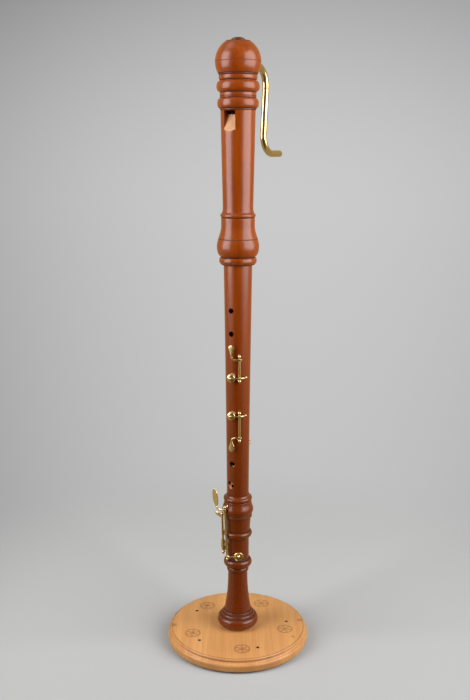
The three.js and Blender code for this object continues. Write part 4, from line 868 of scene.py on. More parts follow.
def oiled_beech(colours):
    """Beech of the stand, planed, moulded and oiled: straight lines of grain, fine pores, two knots,
    burned rosettes on the top, and painted shade in a dark line in the groove at its edge."""
    finish, place = new_finish("Oiled beech")
    grain_turn = 31 * DEGREE
    sawn = add(finish, "Mapping", {"Vector": place, "Rotation": (0, 0, -grain_turn)})
    lines = grain(finish, sawn, (2.2, 120, 8), 4, 0.62)
    bands = grain(finish, sawn, (16, 400, 30), distortion=0.3)
    pores = grain(finish, sawn, (0.7, 9, 3))
    line_share = add(finish, "MapRange", {"Value": lines, **span(0.35, 0.7, 0, 0.6)})
    band_share = add(finish, "MapRange", {"Value": bands, **span(0.35, 0.65, 0, 0.55)})
    pore_share = add(finish, "MapRange", {"Value": pores, **span(0.62, 0.78, 0, 0.35)})
    line, knot = colours.beech_line, colours.knot
    base = layered(finish, colours.beech, (line_share, line), (band_share, line), (pore_share, knot))
    knots = ((-56, 112, 9), (127, 110, 8), (96, 104, 5))
    for knot_turn, distance, radius in knots:
        centre = polar(knot_turn * DEGREE, distance * MM, STAND_TOP)
        near = add(finish, "VectorMath", {0: place, 1: centre}, operation="DISTANCE").outputs["Value"]
        wavy = add(finish, "Math", {0: lines, 1: 5 * MM, 2: near}, operation="MULTIPLY_ADD")
        inputs = {"Value": wavy, **span((radius + 2) * MM, 2.5 * MM, 0, 0.62)}
        spot = add(finish, "MapRange", inputs, interpolation_type="SMOOTHSTEP")
        base = layered(finish, base, (spot, knot))
    # Burned rosettes, and painted shade in the edge's groove
    burned = burned_lines_and_groove_shade(finish, place)
    base = layered(finish, base, (burned, knot))
    burn_depth = 6
    depth = add(finish, "Math", {0: burned, 1: -burn_depth, 2: lines}, operation="MULTIPLY_ADD")
    relief = add(finish, "Bump", {"Strength": 0.25, "Distance": 0.08 * MM, "Height": depth})
    sheen = add(finish, "MapRange", {"Value": lines, "To Min": 0.38, "To Max": 0.52})
    return surfaced(finish, {
        "Base Color": base, "Roughness": sheen, "Normal": relief, "IOR": 1.5,
        "Coat Weight": 0.25, "Coat Roughness": 0.3,
    })


def burned_lines_and_groove_shade(finish, place):
    """Share of burned line in five six-petalled compass rosettes, and of painted shade in the edge's
    groove.
    """
    size = bpy.context.scene.recorder_stand
    circle = 84 * MM
    petal = 10.5 * MM
    line = 0.42 * MM
    part = add(finish, "SeparateXYZ", {"Vector": place})
    turn = add(finish, "Math", {0: part.outputs["X"], 1: part.outputs["Y"]}, operation="ARCTAN2")
    fifth = SCREW_SPACING
    from_screw = 90 * DEGREE + size.screw_turn + fifth / 2
    first = add(finish, "Math", {0: turn, 1: from_screw}, operation="ADD")
    inside = add(finish, "Math", {0: first, 1: fifth}, operation="FLOORED_MODULO")
    local_turn = add(finish, "Math", {0: inside, 1: fifth / 2}, operation="SUBTRACT")
    flat = add(finish, "CombineXYZ", {"X": part.outputs["X"], "Y": part.outputs["Y"]})
    radius = add(finish, "VectorMath", {0: flat}, operation="LENGTH").outputs["Value"]
    cosine = add(finish, "Math", {0: local_turn}, operation="COSINE")
    sine = add(finish, "Math", {0: local_turn}, operation="SINE")
    along = add(finish, "Math", {0: radius, 1: cosine, 2: -circle}, operation="MULTIPLY_ADD")
    across = add(finish, "Math", {0: radius, 1: sine}, operation="MULTIPLY")
    from_centre = add(finish, "CombineXYZ", {"X": along, "Y": across})
    distance = add(finish, "VectorMath", {0: from_centre}, operation="LENGTH").outputs["Value"]
    bearing = add(finish, "Math", {0: across, 1: along}, operation="ARCTAN2")
    sixth = 60 * DEGREE
    shifted = add(finish, "Math", {0: bearing, 1: sixth / 2}, operation="ADD")
    folded = add(finish, "Math", {0: shifted, 1: sixth}, operation="FLOORED_MODULO")
    petal_turn = add(finish, "Math", {0: folded, 1: -sixth / 2}, operation="ADD")
    half = add(finish, "Math", {0: petal_turn}, operation="ABSOLUTE")
    half_cosine = add(finish, "Math", {0: half}, operation="COSINE")
    half_sine = add(finish, "Math", {0: half}, operation="SINE")
    tip = add(finish, "Math", {0: distance, 1: half_cosine}, operation="MULTIPLY")
    side = add(finish, "Math", {0: distance, 1: half_sine}, operation="MULTIPLY")
    on_petal = add(finish, "CombineXYZ", {"X": tip, "Y": side})
    compass = (petal * math.cos(sixth), -petal * math.sin(sixth), 0)
    reach = add(finish, "VectorMath", {0: on_petal, 1: compass}, operation="DISTANCE").outputs["Value"]
    arc = add(finish, "Math", {0: reach, 1: petal, 2: line}, operation="COMPARE")
    near = add(finish, "Math", {0: distance, 1: petal}, operation="LESS_THAN")
    arc = add(finish, "Math", {0: arc, 1: near}, operation="MULTIPLY")
    rim = add(finish, "Math", {0: distance, 1: petal + 1.4 * MM, 2: line * 1.2}, operation="COMPARE")
    outer = add(finish, "Math", {0: distance, 1: petal + 2.8 * MM, 2: line * 0.7}, operation="COMPARE")
    drawn = add(finish, "Math", {0: arc, 1: rim}, operation="MAXIMUM")
    drawn = add(finish, "Math", {0: drawn, 1: outer}, operation="MAXIMUM")
    level = add(finish, "Math", {0: part.outputs["Z"], 1: STAND_TOP - 0.5 * MM}, operation="GREATER_THAN")
    drawn = add(finish, "Math", {0: drawn, 1: level}, operation="MULTIPLY")
    char = add(finish, "TexNoise", {"Vector": place, "Scale": 700, "Detail": 2})
    faded = add(finish, "MapRange", {"Value": char, **span(0.3, 0.6, 0.65, 1)})
    drawn = add(finish, "Math", {0: drawn, 1: faded}, operation="MULTIPLY")
    # Painted shade: a dark line in the groove at the edge of the top
    groove_at = size.top_radius - 0.2 * MM
    groove = add(finish, "Math", {0: radius, 1: groove_at, 2: 0.5 * MM}, operation="COMPARE")
    groove = add(finish, "Math", {0: groove, 1: 0.55}, operation="MULTIPLY")
    return add(finish, "Math", {0: drawn, 1: groove}, operation="MAXIMUM")


def polished_brass(name, bright, dull, rough):
    """Yellow brass, filed, buffed and lacquered: clear reflections, a little dulled in patches,
    with the fine scratches that buffing leaves."""
    finish, place = new_finish(name)
    patches = grain(finish, place, (6, 6, 6), 4, 0.6)
    scratches = grain(finish, place, (0.25, 0.25, 5))
    share = add(finish, "MapRange", {"Value": patches, **span(0.42, 0.72, 0, 0.4)})
    base = layered(finish, bright, (share, dull))
    sheen = add(finish, "MapRange", {"Value": patches, **span(0.35, 0.7, rough, rough + 0.05)})
    relief = add(finish, "Bump", {"Strength": 0.08, "Distance": 0.01 * MM, "Height": scratches})
    return surfaced(finish, {"Base Color": base, "Metallic": 1, "Roughness": sheen, "Normal": relief})


def drawn_steel(name, grey, rough):
    """Drawn and turned steel: grey metal with fine rings from the tool."""
    finish, place = new_finish(name)
    rings = grain(finish, place, (3, 3, 0.3))
    share = add(finish, "MapRange", {"Value": rings, **span(0.35, 0.7)})
    base = layered(finish, shade(grey, 1.15), (share, shade(grey, 0.8)))
    sheen = add(finish, "MapRange", {"Value": rings, "To Min": rough, "To Max": rough + 0.15})
    return surfaced(finish, {"Base Color": base, "Metallic": 1, "Roughness": sheen})


def sanded_cork(colours):
    """Cork, glued and sanded round: pale grains of about 1.5 mm with dark seams and pits."""
    finish, place = new_finish("Sanded cork")
    grains = add(finish, "TexVoronoi", {"Vector": place, "Scale": 1 / (1.5 * MM)})
    pits = grain(finish, place, (0.8, 0.8, 0.8), 3)
    pit_share = add(finish, "MapRange", {"Value": pits, **span(0.58, 0.7, 0, 0.7)})
    seams = (grains.outputs["Distance"], shade(colours.cork, 0.7))
    base = layered(finish, shade(colours.cork, 1.15), seams, (pit_share, shade(colours.cork, 0.3)))
    relief = add(finish, "Bump", {"Strength": 0.5, "Distance": 0.1 * MM, "Height": pits})
    return surfaced(finish, {"Base Color": base, "Roughness": 0.92, "Normal": relief})


def pad_leather(colours):
    """Fine kid leather over felt: pale, matt, with a close pebbled grain."""
    finish, place = new_finish("Pad leather")
    pebbles = add(finish, "TexVoronoi", {"Vector": place, "Scale": 1 / (0.45 * MM)}).outputs["Distance"]
    base = layered(finish, colours.leather, (pebbles, shade(colours.leather, 0.75)))
    relief = add(finish, "Bump", {"Strength": 0.35, "Distance": 0.05 * MM, "Height": pebbles})
    return surfaced(finish, {"Base Color": base, "Roughness": 0.75, "Normal": relief})


def shadow_black_board(colours):
    """Black as the shadow under the disc: painted board, nearly matt, with its faint roughness showing
    through.
    """
    finish, place = new_finish("Board painted black as shadow")
    grit = grain(finish, place, (0.6, 0.6, 0.6), 3)
    base = layered(finish, shade(colours.plate, 0.8), (grit, shade(colours.plate, 1.8)))
    relief = add(finish, "Bump", {"Strength": 0.2, "Distance": 0.05 * MM, "Height": grit})
    return surfaced(finish, {"Base Color": base, "Roughness": 0.7, "Normal": relief})


def make_finishes(colours):
    """Every finish of the recorder, by name."""
    scene = bpy.context.scene
    head = scene.recorder_head
    brass, dull = colours.brass, colours.brass_dull
    # Hollows of the foot, head and cap, where the stained maple gets a fine line of painted shade
    shaded_hollows = hollows(raised(foot_outline(scene.recorder_foot), FOOT_BASE))
    shaded_hollows += hollows(raised(head_outline(head), HEAD_BASE))
    shaded_hollows += hollows(raised(cap_outline(scene.recorder_cap, head.neck)[0], CAP_BASE))
    return {
        "maple": turned_maple("Stained maple", shaded_hollows, colours.stain, colours.stain_dark,
                              colours.deep_stain_and_low_shade, 0.27),
        # The button's dark maple, also painted as shade on the walls of the open holes
        "dark_maple": turned_maple("Dark stained maple and painted hole shade", (), shade(colours.button, 1.4),
                                   colours.button, shade(colours.button, 0.6), 0.4),
        "bare": bare_wood("Bare maple", colours.bare, shade(colours.bare, 0.82), 0.8, 25, 0.7),
        "worn": bare_wood("Thinly stained maple", colours.worn, shade(colours.worn, 0.75), 0.9, 20, 0.55),
        "cedar": bare_wood("Red cedar", colours.cedar, shade(colours.cedar, 0.6), 1.6, 60, 0.75),
        "beech": oiled_beech(colours),
        "brass": polished_brass("Lacquered brass", brass, dull, 0.2),
        # Painted shade: the crook's brass is the keys' brass darkened, to dim its highlights
        "shaded_pipe_brass": polished_brass("Drawn brass pipe", shade(brass, 0.8), dull, 0.1),
        "steel": drawn_steel("Drawn steel", colours.steel, 0.25),
        "dark_steel": drawn_steel("Browned steel", colours.screw, 0.4),
        "cork": sanded_cork(colours),
        "leather": pad_leather(colours),
        "black_plate": shadow_black_board(colours),
    }


# Filled on first use, once the colours are registered
FINISHES = {}


def finish_named(name):
    """A finish, made with the others on first use."""
    if not FINISHES:
        FINISHES.update(make_finishes(bpy.context.scene.recorder_colours))
    return FINISHES[name]


def dress(node, shape, slot, extra=(), sharp=SHARP_ANGLE, finish=None):
    """Makes the piece that stands for a node, riding on the same body. The shape is used up.

    Its finish is the one named like its slot, unless another is given."""
    for face in shape.faces:
        face.smooth = True
    for edge in shape.edges:
        edge.smooth = edge.calc_face_angle(0) < sharp
    piece = held(f"{node}_{slot}", shape)
    for name in (finish or slot, *extra):
        piece.data.materials.append(finish_named(name))
    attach(piece, BODY_OF[node])
    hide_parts(node)
    return piece


def paint(shape, index, chosen):
    """Gives a finish's index to the faces whose centre is chosen."""
    for face in shape.faces:
        if chosen(face.calc_center_median()):
            face.material_index = index
    return shape


def radial(point):
    """Distance of a point from the bore's axis."""
    return math.hypot(point.x, point.y)


# Pieces


def slotted(shape, top, radius, width):
    """A screw head with a slot across it. The head's top is a plane at that height."""
    slot = block_shape((-radius, -width / 2, top - width), (radius, width / 2, top + OVERRUN))
    return carved(shape, slot)


def disc_outline(size):
    """The section of the stand's disc, from the middle of its underside to the middle of its top."""
    top, seat = STAND_TOP / MM, STAND_SEAT / MM
    rim, edge, circle = millimetres(size, "top_radius", "radius", "screw_circle")
    outline = [(0, seat), (edge - 1.6, seat)]
    outline += [(edge - 0.5, seat + 0.5), (edge, seat + 1.6)]
    outline += straight(edge, seat + 2, edge, seat + 9.4, 3)
    outline += bead(edge, seat + 9.5, edge - 2.2, top - 8.3, edge - 0.5, 10)
    outline += [(edge - 2.9, top - 8.1)]
    outline += cove(edge - 3, top - 7.9, rim + 1.1, top - 4.6, 10)
    outline += [(rim + 1, top - 4.3)]
    outline += bead(rim + 1.3, top - 4.1, rim + 0.6, top - 0.6, rim + 2, 10)
    outline += [(rim + 0.2, top - 0.7), (rim - 0.1, top - 0.9)]
    outline += [(rim - 0.5, top - 0.1), (rim - 0.8, top)]
    outline += [(circle, top), (0, top)]
    return metres(outline)


def screw_place(size, index):
    """Where a screw of the stand's disc stands, on the ground."""
    return polar(size.screw_turn + index * SCREW_SPACING, size.screw_circle, 0)


class StandOperator(bpy.types.Operator):
    """Make the moulded disc, the plate under it and the peg"""

    bl_idname = "recorder.stand"
    bl_label = "Stand"

    def execute(self, context):
        size = context.scene.recorder_stand
        top = STAND_TOP
        disc = turned(disc_outline(size), DISC_STEPS)
        cutters = [bar(size.peg_radius + REST_GAP, top - size.peg_seat, top + OVERRUN, SMALL_STEPS)]
        hole = size.screw_head + PIN_SLIP
        well = [(0, top - 2 * MM), (hole * 0.6, top - 2 * MM), (hole, top - 0.3 * MM)]
        well += [(hole, top + OVERRUN), (0, top + OVERRUN)]
        for i in range(STAND_SCREWS):
            cutters.append(moved(turned(well, PIN_STEPS), Matrix.Translation(screw_place(size, i))))
        dress("stand_disc", carved(disc, gathered(*cutters)), "beech", sharp=26 * DEGREE)

        low_edge = 0.8 * MM
        plate = [(0, 0), (size.plate_radius - low_edge, 0), (size.plate_radius, low_edge)]
        plate += [(size.plate_radius, size.plate_thickness - low_edge / 2)]
        plate += [(size.plate_radius - low_edge / 2, size.plate_thickness), (0, size.plate_thickness)]
        dress("stand_plate", turned(plate, PLATE_STEPS), "black_plate")

        low = top - size.peg_seat + REST_GAP
        high = top + size.peg_height
        radius = size.peg_radius
        peg = [(0, low), (radius, low)] + straight(radius, low, radius, high - radius, 6)
        peg += dome(radius, high - radius, radius, 10)
        dress("stand_peg", turned(peg, SMALL_STEPS), "beech")
        return {"FINISHED"}


class StandScrewsOperator(bpy.types.Operator):
    """Make the five slotted screws of the disc and the screw of the peg"""

    bl_idname = "recorder.stand_screws"
    bl_label = "Stand screws"

    def execute(self, context):
        size = context.scene.recorder_stand
        top = STAND_TOP - REST_GAP / 2
        sink = size.screw_head - size.screw_shank
        for i in range(STAND_SCREWS):
            node = f"stand_screw_{i + 1}"
            low = floor_of(node)
            outline = [(0, low), (size.screw_shank, low), (size.screw_shank, top - sink - REST_GAP)]
            outline += [(size.screw_head, top - REST_GAP), (size.screw_head - 0.1 * MM, top), (0, top)]
            screw = slotted(turned(outline, PIN_STEPS), top, size.screw_head * 2, 0.8 * MM)
            slot_turn = (20 + 47 * i) * DEGREE
            turn = Matrix.Rotation(slot_turn, 4, "Z")
            dress(node, moved(screw, Matrix.Translation(screw_place(size, i)) @ turn), "dark_steel")
        seat = STAND_SEAT + REST_GAP
        neck = size.peg_screw_head - size.peg_screw_shank
        high = STAND_SEAT + size.peg_screw_length
        outline = [(0, seat), (size.peg_screw_head, seat), (size.peg_screw_shank, seat + neck)]
        outline += [(size.peg_screw_shank, high - 3 * MM), (0.4 * MM, high), (0, high)]
        screw = turned(outline, PIN_STEPS)
        far, half, deep = size.peg_screw_head * 2, 0.5 * MM, seat + MM
        slot = block_shape((-far, -half, seat - OVERRUN), (far, half, deep))
        dress("peg_screw", carved(screw, slot), "steel")
        return {"FINISHED"}


def foot_outline(size):
    """The outside of the foot joint, from its end to its mouth."""
    bell, stem, waist, tube = millimetres(size, "bell", "stem", "waist", "tube")
    swell, bulge, rim, end = millimetres(size, "bead", "bulge", "ring", "length")
    mouth = bpy.context.scene.recorder_middle.low_radius / MM + 0.55
    outline = [(bell - 15.5, 0)]
    outline += cove(bell - 15.1, 0, bell, 10.9, 20)
    outline += cove(bell - 5.3, 20, bell, 10.9)[::-1]
    outline += [(bell - 5.9, 20.3), (bell - 5.9, 20.9)]
    outline += cove(bell - 8.9, 25.2, bell - 6.4, 21.2, 8)[::-1]
    outline += [(bell - 9.5, 25.4), (bell - 9.5, 25.9)]
    outline += cove(bell - 11.5, 29.9, bell - 9.9, 26.2, 8)[::-1]
    outline += [(bell - 12.1, 30.1), (bell - 12.1, 30.5)]
    outline += flare(bell - 11.9, 30.8, stem + 0.35, 92.1)
    outline += [(stem, 102)]
    outline += bead(stem + 0.5, 102.4, stem + 0.5, 110.2, stem + 2.4, 12)
    outline += [(stem + 0.5, 110.8)]
    outline += bead(stem + 1.6, 111.4, waist + 0.3, 125.1, swell, 18)
    outline += straight(waist, 125.7, waist, 165.2, 12)
    outline += bead(waist + 0.5, 165.7, tube - 0.3, 176.4, swell + 0.2, 18)
    outline += [(tube - 0.7, 176.9)]
    outline += straight(tube - 0.5, 177.5, tube + 1.2, 200.4)
    outline += [(tube + 1.2, 201.3), (tube + 2.9, 201.7)]
    outline += bead(tube + 3, 202, tube + 3.1, 206.2, tube + 3.4, 6)
    outline += [(tube + 2.8, 206.7)]
    outline += ogee(tube + 3.4, 207.2, bulge, 214, 12)
    outline += ogee(bulge, 214, rim - 1.1, 230)[1:]
    outline += [(rim - 1.6, 230.6), (rim - 1.6, 231.2)]
    outline += bead(rim - 1.2, 231.7, rim - 1.7, 237.7, rim)
    outline += cove(rim - 1.9, 237.9, mouth, end, 12)
    return metres(outline)


def pad_seat_cutter(turn, height, hole, cup, level):
    """The hole under a pad and the flat faced round it."""
    far = level + OVERRUN * 2
    outline = [(0, 0), (hole, 0), (hole, level), (cup + REST_GAP * 2, level)]
    return drill(turn, height, outline + [(cup + REST_GAP * 2, far), (0, far)])


def pad_level(wall, cup):
    """The pad's flat lies deep enough that the pad seats on it all round."""
    return math.sqrt(wall ** 2 - (cup - bpy.context.scene.recorder_keys.cup_wall) ** 2)


class FootOperator(bpy.types.Operator):
    """Make the turned foot joint with its two tone holes"""

    bl_idname = "recorder.foot"
    bl_label = "Foot joint"

    def execute(self, context):
        size = context.scene.recorder_foot
        keys = context.scene.recorder_foot_keys
        middle = context.scene.recorder_middle
        socket = middle.low_tenon + TENON_SLIP
        floor = size.length - middle.low_tenon_length - REST_GAP
        edge = 0.6 * MM
        outline = foot_outline(size)
        outline += [(socket + edge, size.length), (socket, size.length - edge), (socket, floor)]
        outline += [(size.bore_top, floor), (size.bore, MM), (size.bore + MM, 0)]
        shape = turned(raised(outline, FOOT_BASE))
        seats = gathered(
            pad_seat_cutter(keys.low_cup_turn, FOOT_BASE + keys.low_height, keys.low_hole, keys.low_cup,
                            pad_level(size.waist, keys.low_cup)),
            pad_seat_cutter(keys.sharp_cup_turn, FOOT_BASE + keys.sharp_height, keys.sharp_hole,
                            keys.sharp_cup, pad_level(size.waist, keys.sharp_cup)),
        )
        shape = carved(shape, seats)
        wall = size.stem - 2.5 * MM
        paint(shape, 1, lambda p: radial(p) < wall and p.z > FOOT_BASE + 0.5 * MM)
        dress("foot_joint", shape, "maple", ["bare"])
        return {"FINISHED"}


def cork_groove(radius, low, size):
    """Groove that a cork ring lies in, from low to high."""
    deep = radius - size.cork_thickness - TENON_SLIP
    high = low + size.cork_length
    return [(radius, low), (deep, low), (deep, high), (radius, high)]


class MiddleOperator(bpy.types.Operator):
    """Make the turned middle joint with its finger holes"""

    bl_idname = "recorder.middle"
    bl_label = "Middle joint"

    def execute(self, context):
        size = context.scene.recorder_middle
        corks = context.scene.recorder_cap
        keys = context.scene.recorder_keys
        low_cork = -size.low_tenon_length + (size.low_tenon_length - corks.cork_length) / 2
        high_cork = size.length + (size.high_tenon_length - corks.cork_length) / 2
        high_end = size.length + size.high_tenon_length
        steps = 72
        levels = [size.length * i / steps for i in range(steps + 1)]
        taper = [(middle_radius(level), level) for level in levels]
        chamfer = 0.6 * MM
        outline = [(size.low_tenon - chamfer, -size.low_tenon_length)]
        outline += [(size.low_tenon, -size.low_tenon_length + chamfer)]
        outline += cork_groove(size.low_tenon, low_cork, corks)
        outline += [(size.low_tenon, 0)] + taper
        outline += [(size.high_tenon, size.length)]
        outline += cork_groove(size.high_tenon, high_cork, corks)
        outline += [(size.high_tenon, high_end - chamfer), (size.high_tenon - chamfer, high_end)]
        outline += [(size.high_bore, high_end), (size.low_bore, -size.low_tenon_length)]
        shape = turned(raised(outline, MIDDLE_BASE))
        base = MIDDLE_BASE
        reach = size.high_radius + OVERRUN
        wall = middle_radius(size.double_height)
        scoop = bmesh.new()
        bmesh.ops.create_icosphere(scoop, subdivisions=5, radius=size.scoop)
        at = polar(size.double_turn, wall + size.scoop - size.scoop_depth, base + size.double_height)
        shape = carved(shape, moved(scoop, Matrix.Translation(at)))
        spread = size.double_spread / 2 / wall
        first_turn, second_turn = size.double_turn - spread, size.double_turn + spread
        drop = size.double_drop / 2
        first_mouth, second_mouth = size.double_hole + 0.8 * MM, size.double_hole + 0.5 * MM
        five_mouth = size.small_hole + MM
        cutters = [
            plain_drill(0, base + size.hole_one, size.hole, 0, reach),
            plain_drill(0, base + size.hole_two, size.hole, 0, reach),
            eased_drill(0, base + size.hole_five, size.small_hole, 0, reach, five_mouth,
                        middle_radius(size.hole_five)),
            plain_drill(math.pi, base + size.thumb_hole, size.small_hole, 0, reach),
            eased_drill(first_turn, base + size.double_height + drop, size.double_hole, wall / 2, reach,
                        first_mouth, wall),
        ]
        for height in (keys.three_height, keys.four_height):
            level = pad_level(middle_radius(height), keys.cup)
            cutters.append(pad_seat_cutter(keys.cup_turn, base + height, keys.hole, keys.cup, level))
        shape = carved(shape, gathered(*cutters))
        second = eased_drill(second_turn, base + size.double_height - drop, size.double_hole, wall / 2,
                             reach, second_mouth, wall)
        shape = carved(shape, second)
        skin, least = 0.25 * MM, 0.04 * MM
        worn_at = polar(size.double_turn + 2 * DEGREE, wall, base + size.double_height - 2.6 * MM)
        worn_reach = 6.4 * MM

        def under(point, depth):
            height = point.z - base
            return 0 < height < size.length and radial(point) < middle_radius(height) - depth

        def bare(point):
            return under(point, skin)

        def scooped(point):
            return (point - worn_at).length < worn_reach and under(point, least)

        edge = 0.1 * MM
        holes = [
            (0, size.hole_one, size.hole), (0, size.hole_two, size.hole),
            (first_turn, size.double_height + drop, first_mouth),
            (second_turn, size.double_height - drop, second_mouth),
        ]

        def painted_hole_shade(point):
            """Painted shade: the walls of the open holes, and of hole five the half towards -X."""
            half = point.x < 0 and within(point, 0, base + size.hole_five, five_mouth + edge)
            near = any(within(point, turn, base + height, reach + edge) for turn, height, reach in holes)
            return (half or near) and radial(point) > size.low_bore and bare(point)

        paint(shape, 1, bare)
        scoop_reach = 9 * MM
        paint(shape, 0, lambda p: abs(p.z - base - size.double_height) < scoop_reach)
        paint(shape, 2, scooped)
        paint(shape, 3, painted_hole_shade)
        dress("middle_joint", shape, "maple", ["bare", "worn", "dark_maple"])
        return {"FINISHED"}


def head_outline(size):
    """The outside of the head joint, from its end to the shoulder under the cap."""
    collar, bell, tube, tube_top = millimetres(size, "collar", "bell", "tube", "tube_top")
    neck, swell, end = millimetres(size, "neck", "bead", "length")
    bell_at, collar_at, line = 29, 62, 41.4
    outline = [(collar - 0.2, 0), (collar + 0.2, 1.2)]
    outline += bead(collar + 0.7, 1.6, collar + 0.6, 12.2, collar + 3.3, 16)
    outline += [(collar + 0.3, 12.8), (collar + 0.4, 13.4)]
    outline += cove(collar + 0.6, 13.6, bell, bell_at, 18)
    middle = ogee(bell, bell_at, collar, collar_at, 26)
    outline += [point for point in middle[1:] if point[1] < line - 0.6]
    share = (line - bell_at) / (collar_at - bell_at)
    at_line = lerp(bell, collar, (1 - math.cos(math.pi * share)) / 2)
    outline += scribe(at_line, line, 0.7, 0.28)
    outline += [point for point in middle if point[1] > line + 0.6]
    outline += straight(collar, 64, collar, 74.6, 4)
    outline += [(collar - 0.4, 75.2)]
    outline += bead(collar + 0.1, 75.8, collar - 0.3, 81.2, collar + 1.3, 12)
    outline += [(collar - 0.8, 81.7)]
    outline += cove(collar - 1, 82.2, tube, 93, 12)
    outline += straight(tube, 95, tube_top, 238.4, 40)
    outline += scribe(tube_top, 239.6, 0.6, 0.25)
    outline += [(tube_top, 240.4), (neck - 0.2, 240.8)]
    outline += [(neck, 242), (neck - 0.3, 242.5)]
    outline += bead(neck + 0.5, 242.9, neck + 0.3, 257.8, swell, 18)
    outline += [(neck - 0.4, 258.5), (neck, 259.1)]
    outline += [(neck, end - 0.25), (neck - 0.3, end)]
    return metres(outline)


class HeadOperator(bpy.types.Operator):
    """Make the turned head joint with its window, ramp, lip and windway"""

    bl_idname = "recorder.head"
    bl_label = "Head joint"

    def execute(self, context):
        size = context.scene.recorder_head
        corks = context.scene.recorder_cap
        middle = context.scene.recorder_middle
        tenon_top = size.length + size.tenon_length
        socket = middle.high_tenon + TENON_SLIP
        floor = middle.high_tenon_length + REST_GAP
        cork = size.length + (size.tenon_length - corks.cork_length) / 2
        outline = head_outline(size) + [(size.tenon, size.length)]
        outline += cork_groove(size.tenon, cork, corks)
        edge = 0.6 * MM
        outline += [(size.tenon, tenon_top - edge), (size.tenon - edge, tenon_top)]
        window_top = size.length - size.window_drop
        lip = window_top - size.window_height
        outline += [(size.bore, tenon_top), (size.bore, lip - size.ramp), (size.bore_low, floor)]
        outline += [(socket, floor), (socket, edge), (socket + edge, 0)]
        shape = turned(raised(outline, HEAD_BASE))
        outside = size.tube_top + OVERRUN
        rise = size.tube_top - size.lip
        ramp_foot = lip - size.ramp * (outside - size.lip) / rise
        inside = size.bore / 2
        window = prism([
            (-inside, lip), (-inside, window_top), (-outside, window_top), (-outside, ramp_foot),
            (-size.lip, lip),
        ], size.window_width)
        shape = carved(shape, moved(window, Matrix.Translation((0, 0, HEAD_BASE))))
        windway = prism([
            (-inside, window_top - REST_GAP), (-inside, tenon_top + OVERRUN),
            (-size.windway_roof, tenon_top + OVERRUN), (-size.windway_roof, window_top - REST_GAP),
        ], size.window_width - 0.02 * MM)
        shape = carved(shape, moved(windway, Matrix.Translation((0, 0, HEAD_BASE))))
        half = size.window_width / 2
        low, high = HEAD_BASE + lip - size.ramp - 4 * MM, HEAD_BASE + window_top + 0.2 * MM
        slope = size.ramp / rise

        def ramp(point):
            under = abs((HEAD_BASE + lip - point.z) - (-size.lip - point.y) * slope) < 0.6 * MM
            return low < point.z < high and point.y < 0 and abs(point.x) < half and under

        def bare(point):
            deep = radial(point) < size.tube - MM
            return HEAD_BASE + MM < point.z < HEAD_BASE + size.length - MM and deep

        paint(shape, 1, bare)
        paint(shape, 1, ramp)
        dress("head_joint", shape, "maple", ["bare"])
        return {"FINISHED"}


class BlockOperator(bpy.types.Operator):
    """Make the cedar block that is the floor of the windway"""

    bl_idname = "recorder.block"
    bl_label = "Block"

    def execute(self, context):
        size = context.scene.recorder_head
        low = HEAD_BASE + size.length - size.window_drop
        high = HEAD_BASE + size.length + size.tenon_length - REST_GAP
        radius = size.bore - REST_GAP
        floor = size.windway_roof - size.windway_height
        edge = 0.5 * MM
        outline = [(0, low), (radius, low), (radius, high - edge), (radius - edge, high), (0, high)]
        far = size.bore + OVERRUN
        above = block_shape((-far, -far, low - OVERRUN), (far, -floor, high + OVERRUN))
        shape = carved(turned(outline, RING_STEPS), above)
        tongue = block_shape(
            (-size.window_width / 2 + REST_GAP, -floor, low),
            (size.window_width / 2 - REST_GAP, -size.bore / 2, high),
        )
        rounded(tongue, lambda edge: runs_along(edge, 0), 0.4 * MM, 2)
        dress("block", gathered(shape, tongue), "cedar")
        return {"FINISHED"}


def cap_outline(size, shoulder):
    """The outside of the wind cap, from its mouth to the seat of the button, and its rim's height.

    The shoulder is the radius of the head joint under it."""
    ball, centre, neck, swell, rim = millimetres(size, "ball", "ball_height", "neck", "bead", "rim")
    mouth = shoulder / MM
    ball_foot = neck * 1.09
    low_turn = -math.acos(ball_foot / ball)
    high_turn = math.acos(rim / ball)
    rim_height = centre + ball * math.sin(high_turn)
    outline = [(mouth - 0.3, 0), (mouth, 0.25), (mouth, 4.6), (mouth - 0.3, 5.2)]
    outline += [(neck + 0.3, 5.8)]
    outline += bead(neck + 0.7, 6.3, neck + 0.4, 22.3, swell, 18)
    outline += [(neck - 0.2, 23), (neck - 0.2, 23.6)]
    outline += bead(neck + 0.1, 24, neck + 0.5, 31, neck + 1.5, 12)
    outline += [(neck + 0.3, 31.5), (neck + 1.7, 31.9)]
    outline += [(neck + 1.9, 32.8), (neck + 1.8, 33.2)]
    equator = 0.4 / ball
    outline += ball_arc(ball, centre, low_turn, -equator, 24)
    outline += [(ball - 0.22, centre)]
    outline += ball_arc(ball, centre, equator, high_turn, 36)
    outline += [(rim - 0.4, rim_height + 0.45), (rim - 1.3, rim_height + 0.4)]
    outline += [(rim - 1.7, rim_height - 0.35)]
    return metres(outline), rim_height * MM


